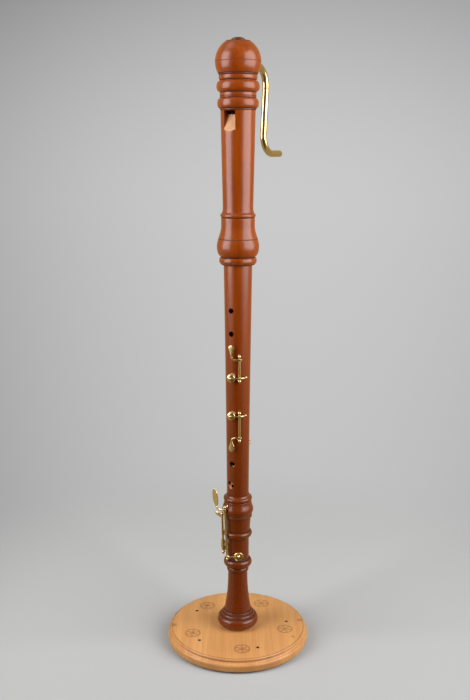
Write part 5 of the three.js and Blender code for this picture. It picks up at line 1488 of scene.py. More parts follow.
class CapOperator(bpy.types.Operator):
    """Make the wind cap and its button"""

    bl_idname = "recorder.cap"
    bl_label = "Wind cap"

    def execute(self, context):
        size = context.scene.recorder_cap
        head = context.scene.recorder_head
        crook = context.scene.recorder_crook
        outline, rim_height = cap_outline(size, head.neck)
        socket = head.tenon + TENON_SLIP
        stem_hole = size.stem + REST_GAP
        flat = rim_height - 0.39 * MM
        roof = rim_height - size.stem_length - REST_GAP
        outline += [(stem_hole, flat), (stem_hole, roof)]
        middle, ball, edge = size.ball_height, size.ball, 0.6 * MM
        outline += [(size.chamber * 0.6, roof), (size.chamber * 0.9, middle + ball * 0.36)]
        outline += [(size.chamber, middle + ball * 0.15), (size.chamber, middle - ball * 0.3)]
        outline += [(socket, head.tenon_length + REST_GAP * 2), (socket, edge), (socket + edge, 0)]
        shape = turned(raised(outline, CAP_BASE))
        hole = crook.radius + crook.cork + REST_GAP * 2
        centre = CAP_BASE + size.ball_height
        mouth = size.ball + OVERRUN
        shape = carved(shape, plain_drill(math.pi, centre, hole, size.chamber / 2, mouth))
        skin = 1.2 * MM

        def bare(point):
            inner = (point - UP * centre).length < size.ball - skin
            return inner and CAP_BASE + head.tenon_length + MM < point.z < CAP_BASE + roof + MM

        dress("cap", paint(shape, 1, bare), "maple", ["bare"])
        seat = CAP_BASE + flat + REST_GAP
        low = CAP_BASE + rim_height - size.stem_length
        radius, rise = size.button, size.button_rise
        outline = [(0, low), (size.stem, low), (size.stem, seat), (radius - 0.4 * MM, seat)]
        outline += [(radius, seat + 0.4 * MM), (radius, seat + rise * 0.26)]
        outline += dome(radius, seat + rise * 0.3, rise * 0.7, 12)
        dress("cap_button", turned(outline, RING_STEPS), "dark_maple")
        return {"FINISHED"}


class CorksOperator(bpy.types.Operator):
    """Make the cork rings of the tenons and the cork sleeve of the crook"""

    bl_idname = "recorder.corks"
    bl_label = "Corks"

    def execute(self, context):
        size = context.scene.recorder_cap
        middle = context.scene.recorder_middle
        head = context.scene.recorder_head
        edge = 0.4 * MM
        rings = {"lower_cork": middle.low_tenon, "upper_cork": middle.high_tenon, "cap_cork": head.tenon}
        for node, radius in rings.items():
            low, high = floor_of(node), top_of(node)
            section = ring_section(radius - size.cork_thickness, radius, low, high, edge)
            dress(node, turned(section, RING_STEPS), "cork")
        crook = context.scene.recorder_crook
        start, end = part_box("crook_cork")[0][1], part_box("crook_cork")[1][1]
        inner = crook.radius + REST_GAP
        sleeve = turned(ring_section(inner, inner + crook.cork, start, end, edge), SMALL_STEPS)
        hole = aim(UP * (CAP_BASE + size.ball_height), outward(math.pi))
        dress("crook_cork", moved(sleeve, hole), "cork")
        return {"FINISHED"}


def bent_line(start, heading, span, turn, steps):
    """Points and headings along an arc or straight run of the crook, in the plane of the axis and +Y."""
    points = []
    for i in range(steps + 1):
        t = i / steps
        now = heading + turn * t
        if turn:
            radius = span / turn
            y = radius * (math.sin(now) - math.sin(heading))
            z = radius * (math.cos(heading) - math.cos(now))
        else:
            y, z = span * t * math.cos(now), span * t * math.sin(now)
        points.append((Vector((0, start.y + y, start.z + z)), now))
    return points


def pipe_frame(point, heading, radius):
    """The transform of the pipe's round section at a point and heading."""
    along = Vector((0, math.cos(heading), math.sin(heading)))
    side = Vector((1, 0, 0))
    turn = Matrix((side, along.cross(side), along)).transposed().to_4x4()
    return Matrix.Translation(point) @ turn @ Matrix.Diagonal((radius, radius, 1, 1))


def pipe(points, radius, wall, lip):
    """An open pipe through points, with rounded ends. Lip is how much each end is rounded."""
    frames = []
    edge = 0.25 * MM
    start, finish = points[0], points[-1]
    frames.append(pipe_frame(*start, radius - edge))
    outer = [pipe_frame(*point, radius) for point in points]
    near = Vector((0, math.cos(start[1]), math.sin(start[1])))
    far = Vector((0, math.cos(finish[1]), math.sin(finish[1])))
    frames.append(pipe_frame(start[0] + near * edge, start[1], radius))
    frames += outer[1:-1]
    frames.append(pipe_frame(finish[0] - far * lip, finish[1], radius))
    frames.append(pipe_frame(finish[0] - far * lip * 0.3, finish[1], radius - lip * 0.3))
    frames.append(pipe_frame(finish[0], finish[1], radius - wall * 0.5))
    frames.append(pipe_frame(finish[0] - far * lip * 0.5, finish[1], radius - wall))
    frames += [pipe_frame(*point, radius - wall) for point in reversed(points[1:-1])]
    frames.append(pipe_frame(*start, radius - wall))
    return swept(frames, SMALL_STEPS, 2, ring=True)


class CrookOperator(bpy.types.Operator):
    """Make the crook: the bend, the straight tube and the mouth end"""

    bl_idname = "recorder.crook"
    bl_label = "Crook"

    def execute(self, context):
        size = context.scene.recorder_crook
        cap = context.scene.recorder_cap
        bend_turn = math.pi / 2 + size.lean
        bend_start = size.reach - size.bend * math.sin(bend_turn)
        start = Vector((0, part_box("crook_cork")[0][1], CAP_BASE + cap.ball_height))
        few, many = 4, 28
        arm = bent_line(start, 0, bend_start - start.y, 0, few)
        elbow = bent_line(arm[-1][0], 0, size.bend * bend_turn, -bend_turn, many)
        down = Vector((0, math.cos(bend_turn), -math.sin(bend_turn)))
        end = elbow[-1][0]
        edge = 0.25 * MM
        upper = pipe(arm + elbow[1:], size.radius, size.wall, edge)
        tube_start = end + down * REST_GAP
        tube_end = tube_start + down * size.tube
        along = [(tube_start.lerp(tube_end, share), -bend_turn) for share in (0, 0.5, 1)]
        middle = pipe(along, size.radius, size.wall, edge)
        mouth_start = tube_end + down * REST_GAP
        sweep = bent_line(mouth_start, -bend_turn, size.mouth_bend * bend_turn, bend_turn, many)
        mouth = bent_line(sweep[-1][0], 0, size.mouth, 0, few)
        lower = pipe(sweep + mouth[1:], size.radius, size.wall, 0.5 * MM)
        spigot = size.radius - size.wall - REST_GAP
        inner = spigot - size.wall
        collar = 2 * MM
        fit = size.radius - size.wall + 0.2 * MM
        outline = [(inner, -collar), (fit, -collar), (fit, -collar / 4), (spigot, -collar / 4)]
        outline += [(spigot, size.spigot - edge), (spigot - edge, size.spigot), (inner, size.spigot)]
        upper_spigot = moved(turned(outline, SMALL_STEPS), aim(end, down))
        lower_spigot = moved(turned(outline, SMALL_STEPS), aim(mouth_start, -down))
        dress("crook_bend", gathered(upper, upper_spigot), "brass", finish="shaded_pipe_brass")
        dress("crook_tube", middle, "brass", finish="shaded_pipe_brass")
        dress("crook_mouth", gathered(lower, lower_spigot), "brass", finish="shaded_pipe_brass")
        return {"FINISHED"}


def sleeve_shape(line, low, high, radius):
    """A key's sleeve on its rod's line, with softened ends."""
    size = bpy.context.scene.recorder_keys
    span = (line.at(high) - line.at(low)).length
    edge = 0.2 * MM
    bore = size.rod + PIN_SLIP / 2
    outline = [(bore, 0), (radius - edge, 0), (radius, edge)]
    outline += straight(radius, edge, radius, span - edge, 6)[1:]
    outline += [(radius - edge, span), (bore, span)]
    return moved(turned(outline, PIN_STEPS), aim(line.at(low), line.direction))


def post_shape(line, height, wood):
    """A post: a stud in the wood, a flange on it, a waisted shank and a ball."""
    size = bpy.context.scene.recorder_keys
    ball = line.at(height)
    distance = radial(ball)
    flange = wood + 0.1 * MM
    stud = wood - 4 * MM
    neck = math.acos(size.shank / size.ball)
    outline = [(0, stud), (size.shank, stud), (size.shank, flange)]
    outline += [(size.flange, flange), (size.flange, flange + 0.25 * MM)]
    outline += [(size.flange - 0.35 * MM, flange + 0.5 * MM)]
    top = distance - size.ball * math.sin(neck)
    root = flange + 0.7 * MM
    outline += ogee(size.flange * 0.72, root, size.shank, lerp(root, top, 0.8), 5)
    outline += ball_arc(size.ball, distance, -neck, math.pi / 2, 16)
    outline[-1] = (0, distance + size.ball)
    direction = Vector((ball.x, ball.y, 0)).normalized()
    return moved(turned(outline, PIN_STEPS), aim(UP * height, direction))


def rod_shape(line, head_height, end_height, turn):
    """The long screw that a key turns on, with its slotted head beyond the first post. Turn is how far
    the slot is turned."""
    size = bpy.context.scene.recorder_keys
    head, end = line.at(head_height), line.at(end_height)
    away = (head - end).normalized()
    span = (head - end).length
    start = size.ball + REST_GAP
    top = start + size.rod_head_thickness
    outline = [(0, -span - size.ball - size.rod), (size.rod * 0.7, -span - size.ball - size.rod)]
    outline += [(size.rod, -span - size.ball - size.rod * 0.7), (size.rod, start)]
    outline += [(size.rod_head, start), (size.rod_head, top - 0.25 * MM)]
    outline += [(size.rod_head - 0.25 * MM, top), (0, top)]
    rod = slotted(turned(outline, PIN_STEPS), top, size.rod_head * 2, 0.45 * MM)
    return moved(rod, aim(head, away) @ Matrix.Rotation(turn, 4, "Z"))


def spring_shape(line, post_height, way, radius):
    """A needle spring from a post along the side of the sleeve that faces the wood."""
    size = bpy.context.scene.recorder_keys
    start = line.at(post_height + way * (size.flange + REST_GAP))
    start -= Vector((start.x, start.y, 0)).normalized() * (radius + REST_GAP + size.spring)
    outline = [(0, 0), (size.spring, 0), (size.spring, size.spring_reach * 0.5)]
    outline += [(size.spring * 0.45, size.spring_reach), (0, size.spring_reach)]
    return moved(turned(outline, NEEDLE_STEPS), aim(start, line.direction * way))


def cup_shape(turn, height, radius, level, dished=False):
    """A cup: a domed plate with a rim round the pad. A dished one is hollowed round a small boss."""
    size = bpy.context.scene.recorder_keys
    inside = level + REST_GAP * 2 + size.pad
    rim = inside - size.cup_rim
    base = inside + size.cup_wall
    edge = 0.25 * MM
    outline = [(0, inside), (radius - size.cup_wall, inside), (radius - size.cup_wall, rim)]
    outline += [(radius - edge, rim), (radius, rim + edge), (radius, base)]
    if dished:
        far = radius / MM
        dish = [(far - 0.25, 0.9), (far - 0.7, 1.35), (far - 1.1, 1.4), (far - 1.5, 1.2)]
        shares = [i / 8 for i in range(9)]
        dish += [(lerp(far - 1.7, far * 0.3, t), lerp(0.15, 1.1, (1 - t) ** 2)) for t in shares]
        dish += [(far * 0.22, 0.8), (far * 0.12, 1.2), (0, 1.3)]
        outline += raised(metres(dish), base)
    else:
        outline += dome(radius, base, size.cup_dome, 16)[1:]
    return drill(turn, height, outline)


def pad_shape(turn, height, radius, level):
    """A leather pad, its edge rounded."""
    size = bpy.context.scene.recorder_keys
    low = level + REST_GAP
    high = low + size.pad
    outer = radius - size.cup_wall - REST_GAP / 2
    outline = [(0, low), (outer - 0.7 * MM, low), (outer - 0.2 * MM, low + 0.25 * MM)]
    outline += [(outer, low + 0.8 * MM), (outer, high), (0, high)]
    return drill(turn, height, outline)


def cup_top(level):
    """Distance of a cup's highest point from the axis."""
    size = bpy.context.scene.recorder_keys
    return level + REST_GAP * 2 + size.pad + size.cup_wall + size.cup_dome


def polar_stations(rows):
    """Stations given as (angle, distance, height, width, thickness), facing out of the bore."""
    return [Station(polar(turn, far, high), outward(turn), *section) for turn, far, high, *section in rows]


def dress_fittings(node, line, head, end, turn, wood_at, way, sleeve):
    """The rod, two posts and spring of a key. Its posts stand at head and end, and the rod's head is at
    the first. The spring starts at the post from which way, 1 up or -1 down, leads to the other. Turn
    is how far the rod's slot is turned, and wood_at gives the radius of the wood at a height."""
    dress(f"{node}_rod", rod_shape(line, head, end, turn), "steel")
    for place, height in zip(("lower", "upper"), sorted((head, end))):
        dress(f"{node}_post_{place}", post_shape(line, height, wood_at(height)), "brass")
    spring_post = head if way * (end - head) > 0 else end
    dress(f"{node}_spring", spring_shape(line, spring_post, way, sleeve), "steel")


class FingerKeysOperator(bpy.types.Operator):
    """Make the keys for the third and the fourth finger"""

    bl_idname = "recorder.finger_keys"
    bl_label = "Finger keys"

    def execute(self, context):
        size = context.scene.recorder_keys
        self.make(size, "key_three", size.three_height, size.three_reach, 1)
        self.make(size, "key_four", size.four_height, size.four_reach, -1)
        return {"FINISHED"}

    def make(self, size, node, cup_height, reach, way):
        """One key. Way is 1 where its touch is above the cup, and -1 where it is below."""
        wall = middle_radius(cup_height)
        rod = wall + size.rod_standoff
        height = MIDDLE_BASE + cup_height
        touch_height = height + way * reach
        far_post = touch_height + way * size.post_inset
        near_post = height - way * size.post_inset
        low, high = min(far_post, near_post), max(far_post, near_post)
        line = RodLine(polar(size.rod_turn, rod, low), polar(size.rod_turn, rod, high))
        level = pad_level(wall, size.cup)
        end = size.ball + REST_GAP
        width, thick = size.arm_width, size.arm_thickness
        over = rod + size.sleeve + thick * 0.2
        top = cup_top(level)
        cup, pin = size.cup_turn, size.rod_turn
        arm = lofted(polar_stations([
            (cup - 9 * DEGREE, top - thick * 0.35, height, width * 0.3, thick * 0.4),
            (cup - 7 * DEGREE, top - thick * 0.2, height, width * 0.75, thick * 0.7),
            (cup + DEGREE, top + thick * 0.08, height, width * 1.1, thick),
            (lerp(cup, pin, 0.3), lerp(top, over, 0.2), height, width * 1.05, thick),
            (lerp(cup, pin, 0.6), lerp(top, over, 0.6), height, width * 0.95, thick),
            (pin, over - thick * 0.1, height, width, thick),
        ]))
        closed = gathered(cup_shape(cup, height, size.cup, level), arm)
        tail_far = wall + REST_GAP * 2 + size.stop_cork + thick / 2
        tail_turn = size.tail_turn
        tail = lofted(polar_stations([
            (pin - 4 * DEGREE, over - thick * 0.1, height, width, thick),
            (pin + 6 * DEGREE, over - thick * 0.1, height, width, thick),
            (lerp(pin, tail_turn, 0.6), lerp(over, tail_far, 0.55), height, width * 0.92, thick * 0.9),
            (tail_turn - 2 * DEGREE, tail_far, height, width * 1.05, thick * 0.85),
            (tail_turn + 3 * DEGREE, tail_far, height, width * 0.85, thick * 0.75),
            (tail_turn + 5 * DEGREE, tail_far - thick * 0.05, height, width * 0.35, thick * 0.4),
        ]))
        far = wall + size.touch_standoff
        turn = size.touch_turn

        def along(share):
            return touch_height + way * (width + size.touch_length * share)

        wide = size.touch_width
        touch = lofted(polar_stations([
            (pin + 6 * DEGREE, over - thick * 0.1, touch_height, width * 0.9, thick),
            (pin, over, touch_height, width * 1.05, thick),
            (lerp(turn, pin, 0.55), lerp(far, over, 0.6), touch_height, width, thick),
            (turn + 8 * DEGREE, far, touch_height + way * width * 0.2, width, thick),
            (turn + 2 * DEGREE, far, along(-0.02), width * 1.08, thick),
            (turn, far, along(0.16), width * 1.15, thick),
            (turn, far, along(0.36), wide * 0.52, thick),
            (turn, far, along(0.58), wide * 0.84, thick),
            (turn, far, along(0.76), wide, thick),
            (turn, far, along(0.9), wide * 0.86, thick * 0.9),
            (turn, far, along(0.97), wide * 0.55, thick * 0.75),
            (turn, far, along(1), wide * 0.12, thick * 0.3),
        ]), steps=TOUCH_STEPS, fullness=2.7)
        sleeve = sleeve_shape(line, low + end, high - end, size.sleeve)
        brass = gathered(sleeve, moved(closed, line.swing(size.opening)), tail, touch)
        dress(node, brass, "brass")
        pad = moved(pad_shape(cup, height, size.cup, level), line.swing(size.opening))
        dress(f"{node}_pad", pad, "leather")
        cork = plain_drill(tail_turn, height, size.stop_cork, wall + REST_GAP, tail_far - thick * 0.35)
        dress(f"{node}_stop_cork", cork, "cork")

        def wood_at(level):
            return middle_radius(level - MIDDLE_BASE)

        dress_fittings(node, line, far_post, near_post, 25 * DEGREE, wood_at, way, size.sleeve)


class FootKeysOperator(bpy.types.Operator):
    """Make the low F key and the low F sharp key"""

    bl_idname = "recorder.foot_keys"
    bl_label = "Foot keys"

    def execute(self, context):
        size = context.scene.recorder_keys
        place = context.scene.recorder_foot_keys
        foot = context.scene.recorder_foot
        self.make_low(size, place, foot)
        self.make_sharp(size, place, foot)
        return {"FINISHED"}

    def fittings(self, size, foot, node, line, low, high, turn):
        """The rod, the two posts and the spring of a foot key."""
        outline = raised(foot_outline(foot), FOOT_BASE)

        def wood_at(height):
            return max(radius for radius, level in outline if abs(level - height) < size.flange)

        dress_fittings(node, line, low, high, turn, wood_at, 1, size.foot_sleeve)

    def make_low(self, size, place, foot):
        """The low F key: a short rounded touch and a cup on the side, standing open."""
        height = FOOT_BASE + place.low_height
        low = height - size.post_inset * 1.2
        high = FOOT_BASE + place.low_top
        pin, cup = place.low_turn, place.low_cup_turn
        line = RodLine(polar(pin, place.low_foot, low), polar(pin, place.low_head, high))
        level = pad_level(foot.waist, place.low_cup)
        end = size.ball + REST_GAP
        width, thick = size.arm_width, size.arm_thickness
        over = radial(line.at(height)) + size.foot_sleeve * 0.6
        top = cup_top(level)
        arm = lofted(polar_stations([
            (cup - 9 * DEGREE, top - thick * 0.3, height, width * 0.3, thick * 0.4),
            (cup - 7 * DEGREE, top - thick * 0.15, height, width * 0.75, thick * 0.7),
            (cup, top + thick * 0.08, height, width * 1.15, thick),
            (lerp(cup, pin, 0.5), lerp(top, over, 0.45), height, width, thick),
            (pin - DEGREE, over, height, width, thick),
        ]))
        closed = gathered(cup_shape(cup, height, place.low_cup, level), arm)
        sleeve = sleeve_shape(line, low + end, high - end, size.foot_sleeve)
        touch_height = high - end - place.low_touch_width * 0.45
        root = line.at(touch_height)
        sideways, front = outward(-math.pi / 2), outward(0)

        def station(share, wide, deep):
            at = root + sideways * place.low_touch * share + front * size.foot_sleeve * 0.6
            lift = Vector((at.x, at.y, touch_height + place.low_touch_rise * share))
            return Station(lift, outward(-12 * DEGREE), wide, deep)

        wide = place.low_touch_width
        touch = lofted([
            station(-0.06, width * 0.8, thick), station(0.12, width * 1.2, thick),
            station(0.32, wide * 0.74, thick * 1.15), station(0.56, wide * 0.97, thick * 1.3),
            station(0.76, wide * 0.96, thick * 1.2), station(0.92, wide * 0.68, thick),
            station(0.985, wide * 0.32, thick * 0.6), station(1, wide * 0.08, thick * 0.2),
        ], steps=TOUCH_STEPS, fullness=2.5)
        swing = line.swing(place.low_opening)
        dress("key_low_f", gathered(sleeve, moved(closed, swing), touch), "brass")
        dress("key_low_f_pad", moved(pad_shape(cup, height, place.low_cup, level), swing), "leather")
        self.fittings(size, foot, "key_low_f", line, low, high, 70 * DEGREE)

    def make_sharp(self, size, place, foot):
        """The low F sharp key: a leaf touch and a cup on the front, held closed."""
        height = FOOT_BASE + place.sharp_height
        low = height - size.post_inset * 1.1
        high = FOOT_BASE + place.sharp_top
        pin, cup = place.sharp_turn, place.sharp_cup_turn
        line = RodLine(polar(pin, place.sharp_foot, low), polar(pin, place.sharp_head, high))
        level = pad_level(foot.waist, place.sharp_cup)
        end = size.ball + REST_GAP
        width, thick = size.arm_width, size.arm_thickness
        collar_top = high - end
        sleeve = sleeve_shape(line, low + end, collar_top, size.foot_sleeve)
        collar = sleeve_shape(line, collar_top - place.collar_length, collar_top, place.collar)
        over = radial(line.at(height)) + size.foot_sleeve * 0.7
        top = cup_top(level) - 0.5 * MM
        arm = lofted(polar_stations([
            (pin - 2 * DEGREE, over - thick * 0.2, height, width * 0.9, thick),
            (lerp(pin, cup, 0.2), over, height, width * 1.1, thick),
            (lerp(pin, cup, 0.5), lerp(over, top, 0.6), height, width, thick),
            (lerp(pin, cup, 0.78), top, height, width, thick),
            (cup - 5 * DEGREE, top - thick * 0.1, height, width * 1.1, thick * 0.9),
            (cup + DEGREE, top - thick * 0.3, height, width * 0.8, thick * 0.6),
            (cup + 4 * DEGREE, top - thick * 0.4, height, width * 0.3, thick * 0.3),
        ]))
        arm_height = collar_top - place.collar_length / 2
        arm_far = radial(line.at(arm_height)) + place.collar
        leaf_far = foot.bulge + place.leaf_standoff
        leaf_turn = place.leaf_turn
        foot_of_leaf = polar(leaf_turn, leaf_far, arm_height + width * 1.2)
        tip = polar(leaf_turn, leaf_far + place.leaf_lean, foot_of_leaf.z + place.leaf)
        front = outward(pin / 2)
        bow = lerp(pin, leaf_turn, 0.5)

        def on_leaf(share, wide, deep):
            return Station(foot_of_leaf.lerp(tip, share), front, wide, deep)

        wide = place.leaf_width
        root = polar(pin, arm_far - thick * 0.4, arm_height)
        rising = polar(lerp(pin, leaf_turn, 0.2), arm_far + thick * 0.5, arm_height)
        over_bow = polar(bow, lerp(arm_far, leaf_far, 0.62), arm_height + width * 0.1)
        falling_turn = lerp(pin, leaf_turn, 0.85)
        falling = polar(falling_turn, lerp(arm_far, leaf_far, 0.9), arm_height + width * 0.4)
        leaf = lofted([
            Station(root, front, width, thick),
            Station(rising, outward(bow), width * 1.15, thick * 1.1),
            Station(over_bow, outward(bow), width * 1.35, thick * 1.2),
            Station(falling, front, width * 1.35, thick * 1.2),
            on_leaf(0, width * 1.4, thick * 1.1),
            on_leaf(0.09, wide * 0.56, thick * 0.9),
            on_leaf(0.26, wide * 0.89, thick * 0.85),
            on_leaf(0.48, wide, thick * 0.8),
            on_leaf(0.7, wide * 0.92, thick * 0.8),
            on_leaf(0.87, wide * 0.66, thick * 0.7),
            on_leaf(0.97, wide * 0.36, thick * 0.6),
            on_leaf(1, wide * 0.06, thick * 0.3),
        ], steps=TOUCH_STEPS, fullness=2.7)
        cup_brass = cup_shape(cup, height, place.sharp_cup, level, dished=True)
        dress("key_low_f_sharp", gathered(sleeve, collar, cup_brass, arm, leaf), "brass")
        dress("key_low_f_sharp_pad", pad_shape(cup, height, place.sharp_cup, level), "leather")
        self.fittings(size, foot, "key_low_f_sharp", line, low, high, 10 * DEGREE)


class ThumbRestOperator(bpy.types.Operator):
    """Make the thumb rest and its two screws"""

    bl_idname = "recorder.thumb_rest"
    bl_label = "Thumb rest"

    def execute(self, context):
        size = context.scene.recorder_middle
        height, tall, wide, thick = MIDDLE_BASE + size.rest_height, 34 * MM, 13 * MM, 1.5 * MM
        inner = middle_radius(size.rest_height + tall / 2) + REST_GAP
        outer = inner + thick
        low, high = height - tall / 2, height + tall / 2
        start, stop = low - MM, high + MM
        blank = turned([(inner, start), (outer, start), (outer, stop), (inner, stop)])
        window = block_shape((-wide / 2, 0, low), (wide / 2, outer + OVERRUN, high))
        rounded(window, lambda edge: runs_along(edge, 1), 4 * MM, 8)
        plate = carved(blank, window, "INTERSECT")
        reach, shelf, lip = 15.2 * MM, 2.2 * MM, 4.7 * MM
        end, base = outer + reach, height - 1.1 * MM
        ledge = prism([
            (inner + thick / 2, base), (end - shelf, base), (end - shelf * 0.3, base + shelf * 0.2),
            (end, base + shelf * 0.6), (end, base + lip - 0.4 * MM), (end - shelf * 0.4, base + lip),
            (end - shelf * 0.8, base + lip - 0.4 * MM), (end - shelf, base + shelf + 0.5 * MM),
            (end - shelf - 0.6 * MM, base + shelf), (inner + thick / 2, base + shelf),
        ], wide)
        eye = bar(3.3 * MM, base - OVERRUN, base + shelf + OVERRUN, SMALL_STEPS)
        ledge = carved(ledge, moved(eye, Matrix.Translation((0, outer + reach * 0.44, 0))))
        plan = block_shape((-wide / 2, 0, low), (wide / 2, end, high))

        def outer_corner(edge):
            return runs_along(edge, 2) and min(vertex.co.y for vertex in edge.verts) > end - MM

        rounded(plan, outer_corner, wide * 0.48, 12)
        ledge = carved(ledge, plan, "INTERSECT")
        rest = dress("thumb_rest", gathered(plate, ledge), "brass")
        soften = rest.modifiers.new("Softened edges", "BEVEL")
        soften.width = 0.3 * MM
        soften.segments = 2
        soften.limit_method = "ANGLE"
        soften.angle_limit = 50 * DEGREE
        head, shank, point = 2.5 * MM, 1.3 * MM, inner - 5 * MM
        under, brim, rise = outer + 0.1 * MM, outer + 0.4 * MM, 1.1 * MM
        for i, side in enumerate((-1, 1)):
            outline = [(0, point), (shank, point), (shank, under), (head, under)]
            outline += dome(head, brim, rise, 8)
            screw = slotted(turned(outline, PIN_STEPS), brim + rise, head * 2, 0.6 * MM)
            place = aim(UP * (height + side * tall * 0.36), outward(math.pi))
            slot_turn = 1 + i
            turn = Matrix.Rotation(slot_turn, 4, "Z")
            dress(f"thumb_rest_screw_{i + 1}", moved(screw, place @ turn), "brass")
        return {"FINISHED"}


VIEW_TURN = 31 * DEGREE
VIEW_PLACE = polar(VIEW_TURN, 1.4423, 0.8278)


class StageOperator(bpy.types.Operator):
    """Make the floor, the backdrop, the soft lights and the camera"""

    bl_idname = "recorder.stage"
    bl_label = "Stage"

    def execute(self, context):
        colours = context.scene.recorder_colours
        context.scene.view_settings.view_transform = "Standard"
        self.floor(colours)
        self.sky(context.scene, colours)
        self.lamp("Left softbox", polar(-37 * DEGREE, 1.5, 1.3), 1.15, 1.8, 36)
        self.lamp("Right softbox", polar(96 * DEGREE, 1.5, 1.3), 1.7, 1.8, 50)
        self.lamp("Top softbox", Vector((-0.7, -0.5, 2.5)), 1, 1, 4)
        self.camera(context.scene)
        return {"FINISHED"}

    def glow(self, material, direction):
        """Brightness of the lit background in a direction from the camera's place: brightest a little
        to the right and below the horizon, darker towards the sides and the top. Past the widest and
        the highest it stays even."""
        brightest, dimmest = 0.591, 0.1
        to_right, below = 0.06, 0.06
        side_fall, top_fall, floor_fall = 1.45, 3.6, 0.17
        widest, highest = 0.11, 0.06
        side = polar(VIEW_TURN + math.pi / 2, 1, 0)
        across = add(material, "VectorMath", {0: direction, 1: side}, operation="DOT_PRODUCT")
        across = add(material, "Math", {0: across.outputs["Value"], 1: -to_right}, operation="ADD")
        across = add(material, "Math", {0: across, 1: across}, operation="MULTIPLY")
        across = add(material, "Math", {0: across, 1: widest}, operation="MINIMUM")
        rise = add(material, "SeparateXYZ", {"Vector": direction}).outputs["Z"]
        rise = add(material, "Math", {0: rise, 1: below}, operation="ADD")
        above = add(material, "Math", {0: rise, 1: 0}, operation="MAXIMUM")
        above = add(material, "Math", {0: above, 1: above}, operation="MULTIPLY")
        above = add(material, "Math", {0: above, 1: highest}, operation="MINIMUM")
        under = add(material, "Math", {0: rise, 1: 0}, operation="MINIMUM")
        level = add(material, "Math", {0: across, 1: -side_fall, 2: brightest}, operation="MULTIPLY_ADD")
        level = add(material, "Math", {0: above, 1: -top_fall, 2: level}, operation="MULTIPLY_ADD")
        level = add(material, "Math", {0: under, 1: floor_fall, 2: level}, operation="MULTIPLY_ADD")
        return add(material, "Math", {0: level, 1: dimmest}, operation="MAXIMUM")

    def mirrored(self, material, direction, colours):
        """What a polished surface shows of the room in a direction from the object: light at the sides,
        dim where the camera stands."""
        view = polar(VIEW_TURN, 1, 0)
        ahead = add(material, "VectorMath", {0: direction, 1: view}, operation="DOT_PRODUCT")
        inputs = {"Value": ahead.outputs["Value"], **span(0.45, 0.95)}
        front = add(material, "MapRange", inputs, interpolation_type="SMOOTHSTEP")
        return layered(material, colours.room, (front, colours.room_front))

    def floor(self, colours):
        """A wide round floor: painted near the object, and as bright as the backdrop far from it."""
        shape = bmesh.new()
        reach = 60
        bmesh.ops.create_circle(shape, cap_ends=True, segments=RING_STEPS, radius=reach)
        stage = held("floor", shape)
        finish, place = new_finish("Studio floor")
        away = add(finish, "VectorMath", {0: place}, operation="LENGTH").outputs["Value"]
        far = add(finish, "MapRange", {"Value": away, **span(0.3, 0.9)}, interpolation_type="SMOOTHSTEP")
        seen = add(finish, "LightPath")
        share = add(finish, "Math", {0: far, 1: seen.outputs["Is Camera Ray"]}, operation="MULTIPLY")
        painted = layered(finish, colours.floor_shade, (seen.outputs["Is Camera Ray"], colours.floor))
        coat = add(finish, "BsdfDiffuse", {"Color": painted, "Roughness": 0.5})
        from_camera = add(finish, "VectorMath", {0: place, 1: VIEW_PLACE}, operation="SUBTRACT")
        direction = add(finish, "VectorMath", {0: from_camera}, operation="NORMALIZE")
        lit = add(finish, "Emission", {"Color": (1, 1, 1), "Strength": self.glow(finish, direction)})
        both = add(finish, "MixShader", {0: share, 1: coat, 2: lit})
        outwards = add(finish, "VectorMath", {0: place}, operation="NORMALIZE")
        room = self.mirrored(finish, outwards, colours)
        mirrored = add(finish, "Emission", {"Color": room, "Strength": 0.9})
        both = add(finish, "MixShader", {0: seen.outputs["Is Glossy Ray"], 1: both, 2: mirrored})
        add(finish, "OutputMaterial", {"Surface": both})
        stage.data.materials.append(finish)

    def sky(self, scene, colours):
        """A dim room all round, and a lit background for the camera."""
        world = bpy.data.worlds.new("Studio")
        world.use_nodes = True
        world.node_tree.nodes.clear()
        scene.world = world
        seen = add(world, "LightPath")
        direction = add(world, "TexCoord").outputs["Generated"]
        shown = add(world, "Background", {"Color": (1, 1, 1), "Strength": self.glow(world, direction)})
        room = self.mirrored(world, direction, colours)
        tone = layered(world, colours.room_light, (seen.outputs["Is Glossy Ray"], room))
        room = add(world, "Background", {"Color": tone, "Strength": 1})
        both = add(world, "MixShader", {0: seen.outputs["Is Camera Ray"], 1: room, 2: shown})
        add(world, "OutputWorld", {"Surface": both})

    def lamp(self, name, at, width, height, power):
        """A soft rectangular lamp. One that stands at the side looks level at the bore's axis, and one
        over the recorder looks down at its middle."""
        light = bpy.data.lights.new(name, "AREA")
        light.shape = "RECTANGLE"
        light.size = width
        light.size_y = height
        light.energy = power
        obj = bpy.data.objects.new(name, light)
        bpy.context.collection.objects.link(obj)
        ahead = UP * 0.5 - at
        if at.z < 2:
            ahead.z = 0
        obj.matrix_world = Matrix.Translation(at) @ ahead.to_track_quat("-Z", "Y").to_matrix().to_4x4()
        obj.visible_camera = False

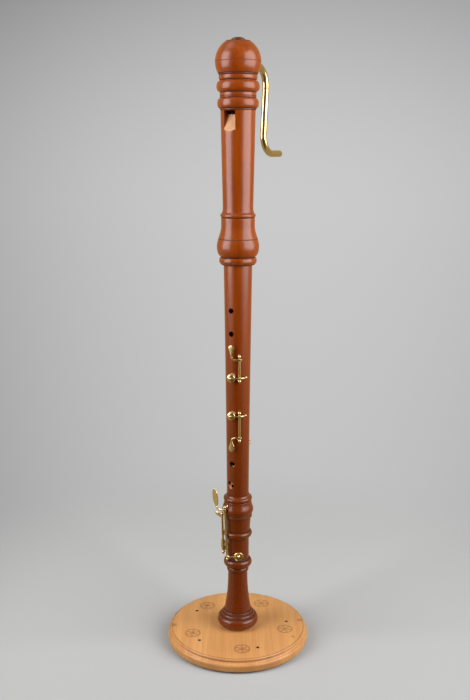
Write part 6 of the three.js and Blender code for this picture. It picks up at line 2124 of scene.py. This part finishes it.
    def camera(self, scene):
        """The camera stands to the right of the finger holes and looks a little down."""
        view = bpy.data.cameras.new("Camera")
        view.sensor_fit = "VERTICAL"
        view.sensor_height = 36
        view.lens = 46.23
        view.clip_start = 0.05
        view.clip_end = 200
        obj = bpy.data.objects.new("Camera", view)
        scene.collection.objects.link(obj)
        heading, down = 31.19 * DEGREE, 12.2 * DEGREE
        turn = Matrix.Rotation(heading, 4, "Z") @ Matrix.Rotation(math.pi / 2 - down, 4, "X")
        obj.matrix_world = Matrix.Translation(VIEW_PLACE) @ turn
        scene.camera = obj


class RecorderPanel(bpy.types.Panel):
    """Lists the pieces of the recorder and their sizes"""

    bl_idname = "RECORDER_PT_pieces"
    bl_label = "Bass recorder"
    bl_space_type = "VIEW_3D"
    bl_region_type = "UI"
    bl_category = "Recorder"

    def draw(self, context):
        for operator in OPERATORS:
            self.layout.operator(operator.bl_idname)
        for name, group in SETTINGS.items():
            box = self.layout.box()
            box.label(text=group.__doc__)
            for key in group.__annotations__:
                box.prop(getattr(context.scene, name), key)


OPERATORS = (
    StageOperator,
    StandOperator,
    StandScrewsOperator,
    FootOperator,
    MiddleOperator,
    HeadOperator,
    BlockOperator,
    CapOperator,
    CorksOperator,
    CrookOperator,
    FingerKeysOperator,
    FootKeysOperator,
    ThumbRestOperator,
)


def register():
    """Registers the settings, the operators and the panel."""
    for name, group in SETTINGS.items():
        bpy.utils.register_class(group)
        setattr(bpy.types.Scene, name, bpy.props.PointerProperty(type=group))
    for kind in (*OPERATORS, RecorderPanel):
        bpy.utils.register_class(kind)


def unregister():
    """Removes what register added."""
    for kind in (RecorderPanel, *reversed(OPERATORS)):
        bpy.utils.unregister_class(kind)
    for name, group in SETTINGS.items():
        delattr(bpy.types.Scene, name)
        bpy.utils.unregister_class(group)


def main():
    """Builds the recorder and its stage."""
    register()
    for operator in OPERATORS:
        family, name = operator.bl_idname.split(".")
        getattr(getattr(bpy.ops, family), name)()


if __name__ == "__main__":
    main()
